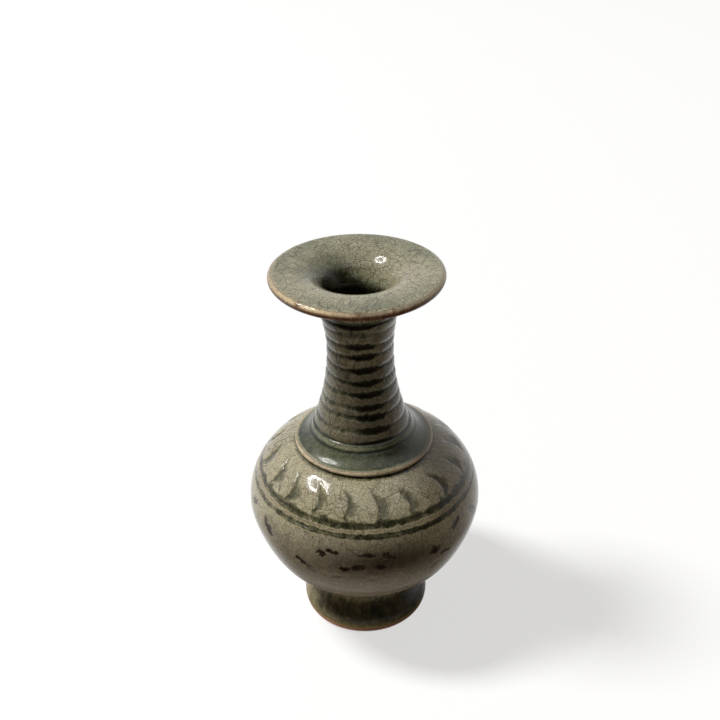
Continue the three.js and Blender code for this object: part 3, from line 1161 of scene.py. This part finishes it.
@dataclass(frozen=True)
class Petals:
    """Band of carved petals: each cut starts at one petal's edge and slopes up to the next."""

    seen: tuple = (-65.6, -48.0, -29.0, -10.6, 7.5, 25.6, 50.0, 72.0)
    count: int = 18
    bottom: float = 71.0
    top: float = 77.8
    depth: float = 0.6
    breadth: float = 6.0
    lip: float = 0.07
    rim: float = 0.02
    pillow: float = 0.07
    arch_top: float = 79.2
    blots: tuple = (-72.8, -63.1, -51.5, -41.8, -22.0, -7.3, 9.0, 27.5, 36.5, 45.7, 58.5, 68.0)
    blot_width: float = 3.4
    blot_height: float = 1.5
    blot_foot: float = 69.7
    hook_turn: float = 0.25
    hook_sweep: float = 10.5
    hook_power: float = 2.17
    toe_curl: float = 20.0
    seed: int = 7

    def azimuths(self) -> list:
        """Azimuth of each cut. Those on the far side are spread evenly."""
        rest = self.count - len(self.seen)
        gap = (self.seen[0] + 360.0 - self.seen[-1]) / (rest + 1)
        return list(self.seen) + [self.seen[-1] + gap * (step + 1) for step in range(rest)]

    def carve(self, height: np.ndarray, azimuth: np.ndarray) -> tuple:
        """Cuts the petals.

        Args:
            height: heights of the rows.
            azimuth: azimuths of the columns.

        Returns:
            The depth in millimetres and the pooled share of glaze, as grids.
        """
        rng = np.random.default_rng(self.seed)
        depth = np.zeros(np.broadcast(height, azimuth).shape)
        pool = np.zeros_like(depth)
        uneven = 0.4 * ripple(height, azimuth, 3.2, 41)
        for place in self.azimuths():
            size = 1.0 + 0.16 * rng.uniform(-1.0, 1.0)
            lift = 0.35 * rng.uniform(-1.0, 1.0)
            rise = (height - self.bottom - lift) / (self.top - self.bottom)
            inside = np.clip(rise, 0.0, 1.0)
            hook = np.clip(inside - self.hook_turn, 0.0, 1.0) ** self.hook_power
            curl = np.clip(self.hook_turn - inside, 0.0, 1.0) ** 2
            edge = 0.45 - self.hook_sweep * hook - self.toe_curl * curl
            radius = BODY.girth_radius - 0.42 * (height - BODY.girth() - 6.0)
            away = azimuth_gap(azimuth, place + edge) * math.pi / 180.0 * radius + uneven
            swell = np.sin(math.pi * np.clip(inside, 0.02, 0.98) ** 0.7)
            breadth = self.breadth * size * (0.3 + 0.7 * swell)
            ends = smoothstep(rise, -0.25, 0.3) * falling(rise, 0.6, 1.04)
            start = smoothstep(away, -0.6, 0.5)
            fade = np.clip(1.0 - away / breadth, 0.0, 1.0)
            cut = start * fade ** 1.3 * ends * (0.45 + 0.55 * smoothstep(rise, -0.1, 0.5))
            depth = np.maximum(depth, self.depth * size * cut)
            ridge = self.lip * bell(away + 1.1, 0.8) * ends
            depth = depth - ridge * (depth < self.lip)
            dark = smoothstep(away, -0.35, 0.45) * smoothstep(fade, 0.0, 0.85)
            pool = np.maximum(pool, dark * smoothstep(rise, -0.3, 0.0) * (1.0 - inside ** 4))
        depth = depth - self.padded(height, azimuth) * (1.0 - np.clip(depth / 0.3, 0.0, 1.0))
        return depth, np.maximum(pool, self.blotted(height, azimuth, rng))

    def padded(self, height: np.ndarray, azimuth: np.ndarray) -> np.ndarray:
        """Raised rim and pillow of each petal between two cuts, as a grid.

        Args:
            height: heights of the rows.
            azimuth: azimuths of the columns.

        Returns:
            The relief outwards in millimetres.
        """
        pads = np.zeros(np.broadcast(height, azimuth).shape)
        rise = (height - self.bottom) / (self.arch_top - self.bottom)
        places = self.azimuths()
        for left, right in zip(places, places[1:] + [places[0] + 360.0]):
            middle = (left + right) / 2.0
            across = azimuth_gap(azimuth, middle) / ((right - left) * 0.47)
            above = np.clip((rise - 0.5) / 0.5, 0.0, None)
            reach = np.sqrt(across ** 2 + above ** 2)
            ridge = bell(reach - 0.84, 0.14) * smoothstep(rise, 0.0, 0.3)
            pillow = np.clip(1.0 - (reach / 0.95) ** 2, 0.0, 1.0) * smoothstep(rise, 0.0, 0.3)
            pads = pads + self.rim * ridge + self.pillow * pillow
        return pads

    def blotted(
        self, height: np.ndarray, azimuth: np.ndarray, rng: np.random.Generator
    ) -> np.ndarray:
        """Glaze that pools in blots on the upper line, as a grid.

        Args:
            height: heights of the rows.
            azimuth: azimuths of the columns.
            rng: seeded source of the small differences.

        Returns:
            The pooled share of glaze.
        """
        far = np.linspace(self.blots[-1], self.blots[0] + 360.0, self.count)[1:-1]
        top = self.blot_foot + 0.3 * ripple(height, azimuth, 2.6, 42)
        for place in list(self.blots) + list(far):
            rise = self.blot_height * rng.uniform(0.7, 1.1)
            width = self.blot_width * rng.uniform(0.8, 1.25)
            top = top + rise * bell(azimuth_gap(azimuth, place), width)
        return 0.85 * falling(height, top - 0.7, top + 0.35)


@dataclass
class Shoulder(Section):
    """Dome with two incised lines and the carved petal band."""

    edge_radius: float = 25.4
    opening_radius: float = 16.0
    petals: Petals = Petals()
    petal_thickness: float = 0.7
    between_thickness: float = 0.16
    line_thickness: float = 0.8

    def stretches(self) -> list:
        """Dome, collar's seat, the inside and the seam."""
        seam = bottom_of(self.node)
        seat = BODY.dome_height(self.edge_radius, 0.0)
        crown = BODY.dome_height(self.opening_radius, BODY.wall)
        dome = BODY.dome(seam, seat, 0.0)
        inside = BODY.dome(crown, seam, BODY.wall)
        return [
            Stretch(dome, 0.28, Face.OUTER),
            seam_between(dome[-1], (self.opening_radius, seat), 5.0),
            Stretch(np.concatenate([line((self.opening_radius, seat)), inside]), 1.5, Face.INNER),
            seam_between(inside[-1], dome[0], 4.5),
        ]

    def relief(self, height: np.ndarray, azimuth: np.ndarray) -> Skin:
        """Petals, incised lines and an even glaze, darker under the collar's lip, partly as glaze
        pooled in the joint and partly as painted shade.
        """
        turn = np.radians(azimuth)
        line_depth, line_pool = BODY.lines(height, azimuth)
        cut, pool = self.petals.carve(height, azimuth)
        seat = BODY.dome_height(self.edge_radius, 0.0)
        flat = falling(height, seat - 1.4, seat - 0.5)
        # Darker just under the collar's lip: partly glaze pooled in the joint, partly painted shade.
        under = smoothstep(height, seat - 0.9, seat)
        above = smoothstep(height, bottom_of(self.node) + 3.0, bottom_of(self.node) + 3.5)
        thickness = 0.34 + 0.03 * np.sin(2 * turn + 0.8) + 0.4 * under
        thickness = towards(thickness, self.petal_thickness, pool ** 0.7 * above)
        between = bell(height - bottom_of(self.node) - BODY.line_spacing / 2, 0.7)
        thickness = towards(thickness, self.between_thickness, 0.8 * between)
        thickness = towards(thickness, self.line_thickness, line_pool)
        return Skin(-cut * flat - line_depth, np.clip(thickness, 0.0, 1.0))


@dataclass
class Collar(Section):
    """Flange whose thin lip overhangs the shoulder."""

    radius: float = 26.1
    lip_thickness: float = 1.45
    lip_gap: float = 0.35
    seat_edge: float = 24.9
    opening_radius: float = 16.0
    neck_radius: float = 18.2
    groove_depth: float = 0.45
    groove_half_width: float = 0.9
    neck_wall: float = 3.6
    cove_flare: float = 0.4
    ring_drop: float = 2.5
    ring_depth: float = 0.15
    groove_thickness: float = 0.84
    painted_shade_under_lip: float = 0.95

    def stretches(self) -> list:
        """Seat, lip, cove and bore."""
        seat = bottom_of(self.node)
        top = bottom_of("neck")
        lip_radius = self.lip_thickness / 2
        centre = (self.radius - lip_radius, seat + self.lip_gap + lip_radius)
        lip = arc(centre, (lip_radius, lip_radius), -90.0, 90.0)
        start = tuple(lip[-1])
        end = (self.neck_radius + self.cove_flare, top - self.groove_half_width)
        width = start[0] - end[0]
        rise = end[1] - start[1]
        cove = bezier(
            start, (start[0] - width * 0.46, start[1] + rise * 0.13),
            (end[0] + width * 0.25, end[1] - rise * 0.47), end,
        )
        groove = bezier(
            end, (end[0] - 0.1, end[1] + 0.45),
            (self.neck_radius - self.groove_depth, top - 0.35),
            (self.neck_radius - self.groove_depth, top),
        )
        outer = np.concatenate([
            line((self.seat_edge, seat), (self.seat_edge + 0.05, seat + self.lip_gap * 0.7)),
            lip, cove[1:], groove[1:],
        ])
        bore = self.neck_radius - self.neck_wall
        return [
            Stretch(outer, 0.2, Face.OUTER),
            seam_between(outer[-1], (bore, top)),
            Stretch(line((bore, top), (self.opening_radius, seat)), 2.0, Face.INNER),
            seam_between((self.opening_radius, seat), (self.seat_edge, seat), 9.0),
        ]

    def relief(self, height: np.ndarray, azimuth: np.ndarray) -> Skin:
        """A faint ring near the neck, a worn lip, a cove full of glaze and painted shade under the
        lip.
        """
        turn = np.radians(azimuth)
        seat = bottom_of(self.node)
        top = bottom_of("neck")
        ring = bell(height - (top - self.ring_drop) - 0.12 * np.sin(2 * turn), 0.5)
        lip_top = seat + self.lip_gap + self.lip_thickness
        lip = falling(height, lip_top - 0.1, lip_top + 0.4 + 0.1 * np.sin(5 * turn))
        worn = 0.06 + 0.04 * np.sin(2 * turn + 1.0) + 0.04 * np.sin(7 * turn)
        ridge = bell(height - (top - 1.35), 0.6)
        thickness = 0.68 + 0.14 * ring - 0.16 * ridge + 0.05 * np.sin(3 * turn)
        thickness = thickness * (1.0 - lip) + worn * lip
        groove = smoothstep(height, top - 0.7, top)
        thickness = towards(thickness, self.groove_thickness, groove)
        # Painted shade: the underside of the lip is darkened.
        under = falling(height, seat + 0.1, seat + 0.5)
        thickness = towards(thickness, self.painted_shade_under_lip, under)
        return Skin(-self.ring_depth * ring, np.clip(thickness, 0.0, 1.0))


@dataclass
class Neck(Section):
    """Waisted neck with throwing rings of uneven height."""

    ring_heights: tuple = (4.5, 5.2, 3.7, 4.7, 4.8, 5.1, 5.2, 4.3, 5.4, 3.8)
    groove_strengths: tuple = (1.0, 0.85, 0.95, 0.9, 1.0, 1.0, 1.0, 0.95, 0.85, 0.4, 0.8)
    groove_depth: float = 0.45
    groove_half_width: float = 0.85
    pool_half_width: float = 1.3
    pool_thickness: float = 0.97
    pool_and_shade_front: float = 20.0
    pool_twist: float = 0.45
    green_side: float = -54.0
    base_radius: float = 18.2
    waist_radius: float = 12.25
    waist_rise: float = 32.0
    top_radius: float = 14.3
    lower_flare: float = 2.1
    upper_flare: float = 1.65
    wall: float = 3.6

    def radius_at(self, height: np.ndarray) -> np.ndarray:
        """Outer radius between the grooves."""
        base, top = bottom_of(self.node), top_of(self.node)
        waist = base + self.waist_rise
        below = np.clip((waist - height) / (waist - base), 0.0, 1.0) ** self.lower_flare
        above = np.clip((height - waist) / (top - waist), 0.0, 1.0) ** self.upper_flare
        swell = (self.base_radius - self.waist_radius) * below
        return self.waist_radius + swell + (self.top_radius - self.waist_radius) * above

    def stretches(self) -> list:
        """Outer wall, upper seam, bore and lower seam. The grooves come as relief."""
        base, top = bottom_of(self.node), top_of(self.node)
        height = np.linspace(base, top, 300)
        outer = np.stack([self.radius_at(height), height], axis=1)
        bore = np.stack([self.radius_at(height) - self.wall, height], axis=1)[::-1]
        return [
            Stretch(outer, 0.26, Face.OUTER),
            seam_between(outer[-1], bore[0]),
            Stretch(bore, 2.0, Face.INNER),
            seam_between(bore[-1], outer[0]),
        ]

    def relief(self, height: np.ndarray, azimuth: np.ndarray) -> Skin:
        """Rounded rings with glaze pooled dark in the grooves between them, darkest round the front
        as partly painted shade, and painted shade under the mouth.
        """
        turn = np.radians(azimuth)
        base, top = bottom_of(self.node), top_of(self.node)
        grooves = base + np.concatenate([[0.0], np.cumsum(self.ring_heights)])
        cut = np.zeros(np.broadcast(height, azimuth).shape)
        pool = np.zeros_like(cut)
        uneven = 0.16 * ripple(height, azimuth, 8.0, 61)
        green = bell(azimuth_gap(azimuth, self.green_side), 38.0)
        for number, (middle, strength) in enumerate(zip(grooves, self.groove_strengths)):
            at_end = number in (0, len(grooves) - 1)
            swing = 0.2 * np.sin(turn + number * 1.9) + 0.12 * np.sin(3 * turn + number)
            away = height - middle - (0.0 if at_end else swing + uneven)
            depth = self.groove_depth if at_end else self.groove_depth * strength
            cut = np.maximum(cut, depth * bell(away, self.groove_half_width))
            # The pooled grooves are darkest round the front: partly glaze pooled in them and partly
            # painted shade.
            blot = self.pool_and_shade_front - self.pool_twist * (middle - base)
            front = falling(np.abs(azimuth_gap(azimuth, blot)), 7.0, 34.0)
            fill = strength * (0.58 + 0.42 * front - 0.1 * green)
            share = 0.56 + 0.74 * front + 0.42 * green + 0.1 * np.sin(3 * turn + number)
            width = self.pool_half_width * share
            spread = falling(np.abs(away + 0.15), 0.3 * width, 1.25 * width)
            pool = np.maximum(pool, fill * spread)
        thickness = 0.22 + 0.04 * np.sin(2 * turn + height * 0.12)
        thickness = thickness + 0.1 * green
        thickness = towards(thickness, self.pool_thickness, pool)
        # Painted shade at the top of the neck, under the mouth's flange.
        shade = smoothstep(height, top - 6.5, top)
        return Skin(-cut, np.clip(thickness + 0.3 * shade, 0.0, 1.0))


@dataclass
class Mouth(Section):
    """Wide, nearly flat dish mouth with a rounded rim."""

    radius: float = 30.95
    rim_thickness: float = 3.5
    roll: float = 2.3
    slopes: tuple = ((30.0, 1.0), (25.0, 5.0), (21.0, 11.0), (18.0, 20.0), (16.3, 30.0),
                     (14.5, 38.5), (13.0, 48.0), (11.8, 62.0), (11.0, 80.0))
    neck_radius: float = 14.3
    groove_depth: float = 0.45
    groove_half_width: float = 0.9
    flange_flare: float = 0.22
    iron_spots: tuple = ((1.0, 2.6), (-40.0, 2.0), (23.0, 1.4), (118.0, 2.2), (-141.0, 1.8))
    wall: float = 3.6
    droop: float = 0.9
    throat_shift: float = 1.9
    lit_side: float = 115.0
    shaded_side: float = -112.0
    worn_side: float = -45.0

    def stretches(self) -> list:
        """Flange, rim, dish, throat and seam."""
        base, top = bottom_of(self.node), top_of(self.node)
        rim_radius = self.rim_thickness / 2
        rim = np.concatenate([
            arc((self.radius - rim_radius, top - rim_radius), (rim_radius,) * 2, -90.0, 0.0),
            arc((self.radius - self.roll, top - rim_radius), (self.roll, rim_radius), 0.0, 90.0)[1:],
        ])
        seam = (self.neck_radius - self.groove_depth, base)
        start = (self.neck_radius + self.flange_flare, base + self.groove_half_width)
        groove = bezier(seam, (seam[0], base + 0.35), (start[0] - 0.1, start[1] - 0.45), start)
        width = rim[0][0] - start[0]
        rise = rim[0][1] - start[1]
        flange = bezier(
            start, (start[0] + width * 0.04, start[1] + rise * 0.4),
            (start[0] + width * 0.16, start[1] + rise * 0.9), tuple(rim[0]),
        )
        dish = self.dish(tuple(rim[-1]))
        turn = tuple(dish[-1])
        bore = (self.neck_radius - self.wall, base)
        depth = turn[1] - bore[1]
        throat = bezier(
            turn, (turn[0] - depth * 0.06, turn[1] - depth * 0.33), (bore[0], bore[1] + depth * 0.33),
            bore,
        )
        outer = np.concatenate([groove, flange[1:], rim[1:], dish[1:], throat[1:]])
        return [
            Stretch(outer, 0.42, Face.OUTER),
            seam_between(bore, seam),
        ]

    def dish(self, rim: tuple) -> np.ndarray:
        """Upper face from the rim's roll to the throat, ever steeper inwards.

        Args:
            rim: radius and height of the roll's inner end.

        Returns:
            Points along the face.
        """
        radii, slopes = np.array(self.slopes[::-1]).T
        radius = np.linspace(rim[0], radii[0], 160)
        slope = np.radians(np.interp(radius, radii, slopes))
        fall = (np.tan(slope[1:]) + np.tan(slope[:-1])) / 2 * -np.diff(radius)
        return np.stack([radius, rim[1] - np.concatenate([[0.0], np.cumsum(fall)])], axis=1)

    def relief(self, height: np.ndarray, azimuth: np.ndarray) -> Skin:
        """A glaze that is thin round the rim, with painted shade deep in the throat, on its back left
        wall and under the flange, painted light on the wall that the lamp lights, and a dish darker
        towards its front and back.
        """
        turn = np.radians(azimuth)
        rows = Rows.of(self.stretches())
        radius = rows.points[:, :1]
        inside = np.zeros_like(radius)
        inside[int(np.argmax(radius)):] = 1.0
        top = top_of(self.node)
        band = self.radius - 0.7 - 0.8 * (0.5 + 0.5 * np.cos(turn - math.radians(self.worn_side)))
        edge = smoothstep(radius - band, -1.2, 0.8)
        run = 0.5 + 0.5 * np.sin(3 * turn + 0.5)
        dish = 0.4 + 0.04 * np.sin(3 * turn + 0.9) + 0.02 * np.sin(7 * turn)
        dish = dish + 0.06 * smoothstep(radius, self.radius - 9.0, self.radius - 4.0)
        base = bottom_of(self.node)
        # Painted shade on the flange's underside, darkest next to the neck.
        under = 0.3 + 0.5 * falling(height, base + 0.5, base + 3.6)
        # Painted light and shade in the throat: dark deep down and less far up on the side the lamp
        # lights, the back left wall painted shaded, and the lit wall painted lighter.
        lit = smoothstep(np.cos(turn - math.radians(self.lit_side)), -0.1, 0.85)
        deep = falling(height, top - 12.0 - 3.0 * lit, top - 2.5 - 5.5 * lit)
        shaded = smoothstep(np.cos(turn - math.radians(self.shaded_side)), -0.1, 0.9)
        shaded = shaded * falling(radius, self.neck_radius - 1.5, self.neck_radius + 11.0)
        # The dish is also darker towards its front and its back.
        near = smoothstep(np.cos(turn), 0.3, 1.0) * smoothstep(radius, 17.0, 26.0)
        far = smoothstep(-np.cos(turn), 0.1, 1.0)
        dish = dish + 0.5 * deep + 0.13 * shaded + 0.07 * near + 0.08 * far
        dish = dish - 0.09 * lit * falling(radius, 15.0, 21.0)
        thickness = np.where(inside > 0.5, dish, under)
        thin = 0.03 + 0.1 * run
        thickness = towards(thickness, thin, edge)
        spots = np.zeros_like(thickness)
        for place, width in self.iron_spots:
            spots = np.maximum(spots, bell(azimuth_gap(azimuth, place), width))
        scorch = smoothstep(top - height, 0.7, 1.7)
        iron = edge * np.maximum(0.75 * spots + 0.12 * run, 0.92 * scorch)
        reach = smoothstep(self.radius - radius, self.roll, 12.0) * inside
        reach = reach * falling(top - height, 6.0, 13.0)
        back = -rows.normals[:, :1] * np.cos(turn) * self.throat_shift * reach
        return Skin(back, np.clip(thickness, 0.0, 1.0), iron)

    def settle(self, x: np.ndarray, y: np.ndarray, z: np.ndarray) -> tuple:
        """Lets the front of the hand-thrown rim sag a little."""
        share = smoothstep(z, bottom_of(self.node) + 2.0, top_of(self.node))
        front = np.clip(-y / self.radius, 0.0, 1.0) ** 2
        return x, y, z - self.droop * front * share


@dataclass(frozen=True)
class Camera:
    """Viewpoint of the photograph, in millimetres and radians. The clips are in metres."""

    x: float = -1.06
    y: float = -309.3
    z: float = 302.1
    pitch: float = 0.5478
    roll: float = 0.01448
    lens: float = 50.01
    sensor: float = 36.0
    clip_start: float = 0.01
    clip_end: float = 50.0

    def place(self) -> None:
        """Adds the camera and makes it the scene's own."""
        right = Vector((1.0, 0.0, 0.0))
        forward = Vector((0.0, math.cos(self.pitch), -math.sin(self.pitch)))
        down = Vector((0.0, -math.sin(self.pitch), -math.cos(self.pitch)))
        across = right * math.cos(self.roll) + down * math.sin(self.roll)
        up = right * math.sin(self.roll) - down * math.cos(self.roll)
        data = bpy.data.cameras.new("camera")
        data.lens = self.lens
        data.sensor_width = self.sensor
        data.clip_start = self.clip_start
        data.clip_end = self.clip_end
        camera = bpy.data.objects.new("camera", data)
        turn = Matrix((across, up, -forward)).transposed().to_4x4()
        camera.matrix_world = Matrix.Translation(Vector((self.x, self.y, self.z)) * MM) @ turn
        bpy.context.scene.collection.objects.link(camera)
        bpy.context.scene.camera = camera


@dataclass(frozen=True)
class Studio:
    """Pale floor, one soft lamp from the upper left and an even fill.

    An entry of the screen's outline is a radius, a height and how dark the screen is there.
    """

    lamp_direction: tuple = (-0.53, 0.06, 0.84)
    lamp_distance: float = 6.0
    lamp_aim: float = 0.08
    lamp_width: float = 1.2
    lamp_length: float = 1.9
    lamp_level: float = 3.5
    ring_radii: tuple = (0.5, 0.77)
    ring_stretch: float = 1.5
    ring_glow: float = 42.0
    ring_corners: int = 64
    fill: float = 0.12
    fill_colour: tuple = (1.0, 0.86, 0.7, 1.0)
    floor_size: float = 8.0
    floor_colour: tuple = (0.5, 0.46, 0.41, 1.0)
    shadow_share: float = 0.36
    screen_outline: tuple = ((24.6, 1.0, 1.0), (29.5, 1.0, 1.0), (38.0, 1.0, 0.7),
                             (70.0, 1.0, 1.0),
                             (430.0, 1.0, 1.0), (470.0, 150.0, 1.0), (490.0, 360.0, 1.0),
                             (450.0, 500.0, 1.0), (410.0, 560.0, 0.0))
    screen_reach: float = 118.0
    screen_fade: float = 60.0
    screen_columns: int = 57
    screen_colour: tuple = (0.09, 0.07, 0.05, 1.0)
    white: tuple = (1.0, 1.0, 1.0, 1.0)

    def only_mirrored(self, piece: bpy.types.Object) -> None:
        """Hides an object from all but reflections."""
        piece.visible_camera = False
        piece.visible_diffuse = False
        piece.visible_shadow = False

    def lamp(self) -> None:
        """Adds the lamp, bright enough that a white facing it renders white."""
        data = bpy.data.lights.new("lamp", "AREA")
        data.shape = "ELLIPSE"
        data.size = self.lamp_width
        data.size_y = self.lamp_length
        data.energy = self.lamp_level * self.lamp_distance ** 2 * math.pi
        lamp = bpy.data.objects.new("lamp", data)
        direction = Vector(self.lamp_direction).normalized()
        lamp.location = direction * self.lamp_distance + Vector((0.0, 0.0, self.lamp_aim))
        lamp.rotation_euler = (-direction).to_track_quat("-Z", "Y").to_euler()
        lamp.visible_glossy = False
        bpy.context.scene.collection.objects.link(lamp)
        self.ring(lamp)

    def ring(self, lamp: bpy.types.Object) -> None:
        """Adds the lamp's glowing ring, which only reflections show.

        Args:
            lamp: the lamp that the ring stands in for in reflections.
        """
        turns = np.linspace(0.0, FULL_TURN, self.ring_corners, endpoint=False)
        corners = [
            (radius * math.cos(turn) * self.ring_stretch, radius * math.sin(turn), 0.0)
            for radius in self.ring_radii for turn in turns
        ]
        count = len(turns)
        faces = [(k, (k + 1) % count, (k + 1) % count + count, k + count) for k in range(count)]
        ring = new_piece("ring_lamp", corners, faces)
        ring.location = lamp.location
        ring.rotation_euler = lamp.rotation_euler
        self.only_mirrored(ring)
        material, graph = new_material("ring_lamp")
        glow = graph.node("ShaderNodeEmission", {"Color": self.white, "Strength": self.ring_glow})
        graph.node("ShaderNodeOutputMaterial", {"Surface": glow.outputs[0]})
        ring.data.materials.append(material)

    def seen(self, graph: Graph) -> bpy.types.NodeSocket:
        """Mask of the rays that look at the backdrop: seen, mirrored or through glass."""
        rays = graph.node("ShaderNodeLightPath")
        mirrored = graph.math(
            "MAXIMUM", rays.outputs["Is Glossy Ray"], rays.outputs["Is Transmission Ray"]
        )
        return graph.math("MAXIMUM", rays.outputs["Is Camera Ray"], mirrored)

    def world(self) -> None:
        """Makes the world white to look at and an even fill otherwise."""
        world = bpy.data.worlds.new("world")
        world.use_nodes = True
        world.node_tree.nodes.clear()
        graph = Graph(world.node_tree)
        seen = self.seen(graph)
        background = graph.node("ShaderNodeBackground", {
            "Color": graph.mix(seen, self.fill_colour, self.white),
            "Strength": graph.math("MULTIPLY_ADD", seen, 1.0 - self.fill, self.fill),
        })
        graph.node("ShaderNodeOutputWorld", {"Surface": background.outputs[0]})
        bpy.context.scene.world = world

    def floor(self) -> None:
        """Adds the floor, white to look at but for the vase's soft shadow."""
        half = self.floor_size / 2
        corners = [(-half, -half, 0), (half, -half, 0), (half, half, 0), (-half, half, 0)]
        floor = new_piece("floor", corners, [(0, 1, 2, 3)])
        material, graph = new_material("pale_floor")
        share = self.shadow_share
        plain = graph.node("ShaderNodeBsdfDiffuse", {"Color": self.floor_colour})
        shaded = graph.node("ShaderNodeBsdfDiffuse", {"Color": (share, share, share, 1.0)})
        glow = graph.node("ShaderNodeEmission", {"Color": self.white, "Strength": 1.0 - share})
        bright = graph.node("ShaderNodeAddShader", {0: shaded.outputs[0], 1: glow.outputs[0]})
        mixed = graph.node("ShaderNodeMixShader", {
            0: self.seen(graph), 1: plain.outputs[0], 2: bright.outputs[0],
        })
        graph.node("ShaderNodeOutputMaterial", {"Surface": mixed.outputs[0]})
        floor.data.materials.append(material)

    def screen(self) -> None:
        """Sets a dark screen before the vase, out of view, to keep glare off its front."""
        turns = np.linspace(-self.screen_reach, self.screen_reach, self.screen_columns)
        corners = [
            (radius * math.sin(angle) * MM, -radius * math.cos(angle) * MM, height * MM)
            for radius, height, _ in self.screen_outline for angle in np.radians(turns)
        ]
        count = len(turns)
        faces = [
            (low, low + count, low + count + 1, low + 1)
            for row in range(len(self.screen_outline) - 1)
            for low in range(row * count, row * count + count - 1)
        ]
        screen = new_piece("dark_screen", corners, faces)
        across = falling(np.abs(turns), self.screen_reach - self.screen_fade, self.screen_reach)
        shares = np.concatenate([across * share for _, _, share in self.screen_outline])
        cover = screen.data.attributes.new("cover", "FLOAT", "POINT")
        cover.data.foreach_set("value", shares.astype(np.float32))
        self.only_mirrored(screen)
        material, graph = new_material("dark_screen")
        dark = graph.node("ShaderNodeBsdfDiffuse", {"Color": self.screen_colour})
        clear = graph.node("ShaderNodeBsdfTransparent")
        behind = graph.node("ShaderNodeNewGeometry").outputs["Backfacing"]
        shown = graph.times(graph.layer("cover"), graph.math("SUBTRACT", 1.0, behind))
        mixed = graph.node("ShaderNodeMixShader", {
            0: shown, 1: clear.outputs[0], 2: dark.outputs[0],
        })
        graph.node("ShaderNodeOutputMaterial", {"Surface": mixed.outputs[0]})
        screen.data.materials.append(material)

    def build(self) -> None:
        """Sets up the floor, the screen, the lamp, the world and how colours are shown."""
        self.floor()
        self.screen()
        self.lamp()
        self.world()
        bpy.context.scene.view_settings.view_transform = "Standard"


def sections() -> list:
    """The vase's sections from the foot up, each with its own glaze."""
    body = Glaze("body_glaze", cells=300.0, crack_width=0.05, crack_depth=0.7, grain=0.65,
                 cell_contrast=0.08)
    belly = Glaze("belly_glaze", Depths(worn=srgb(172, 161, 142), thin=srgb(144, 136, 117)),
                  cells=290.0, patching=0.2, clouding=0.24, streaking=0.34, crack_width=0.05,
                  crack_depth=0.5, grain=0.6)
    green = Depths(worn=srgb(234, 210, 168), even=srgb(163, 158, 130), thick=srgb(121, 124, 98),
                   deep=srgb(50, 51, 38))
    cove = Depths(worn=srgb(216, 198, 168), even=srgb(160, 158, 130), thick=srgb(112, 119, 95),
                  deep=srgb(46, 52, 39))
    # The neck's colours are darker than its glaze: painted shade, as the mouth's flange shades the
    # neck.
    shaded = Depths(thin=srgb(100, 91, 76), even=srgb(118, 117, 97), thick=srgb(70, 73, 56),
                    deep=srgb(29, 29, 21), pooled=srgb(5, 6, 3))
    # The foot's colours are lighter than its glaze: partly painted light, standing in for light that
    # reaches the foot and its lower edge from low on the left.
    foot_and_light = Depths(worn=srgb(232, 166, 142), thin=srgb(214, 162, 126), even=srgb(192, 180, 136),
                    thick=srgb(144, 136, 102), deep=srgb(80, 76, 58), pooled=srgb(36, 37, 36))
    return [
        FootRing("foot_ring", Glaze("foot_glaze_and_light", foot_and_light, fuzz=0.12, crack_depth=0.2, clouding=0.06,
                                     patching=0.06, grain=0.45),
                 slot=Slot.FOOT, columns=360),
        Bowl("bowl", belly, crackle_radius=40.0, crackle_stretch=0.6),
        Shoulder("shoulder", body, columns=600, crackle_radius=36.0, crackle_stretch=0.75),
        Collar("collar", Glaze("collar_glaze", cove, crack_depth=0.6, roughness=0.15, fuzz=0.14,
                               clouding=0.1, grain=0.7),
               columns=420, leans=True),
        Neck("neck", Glaze("neck_glaze_and_shade", shaded, fuzz=0.2, crack_width=0.055, crack_depth=0.6,
                           streaking=0.15, grain=0.7),
             columns=420, push=Push.RADIAL, leans=True,
             crackle_radius=14.0, crackle_stretch=0.45),
        Mouth("mouth", Glaze("mouth_glaze", green, cells=330.0, crack_width=0.065,
                             crack_depth=0.85, grain=0.35, clouding=0.1, patching=0.1,
                             crack_colour=srgb(52, 46, 28), iron_colour=srgb(78, 38, 22)),
              leans=True),
    ]


def main() -> None:
    """Builds and dresses the sections in order, then the camera and the studio."""
    logging.basicConfig(level=logging.INFO, format="%(message)s")
    Camera().place()
    groups = {"crackle": crackle_group(), "speckle": speckle_group(), "fuzz": fuzz_group()}
    for section in sections():
        section.dress(section.build(), groups)
    Studio().build()


if __name__ == "__main__":
    main()
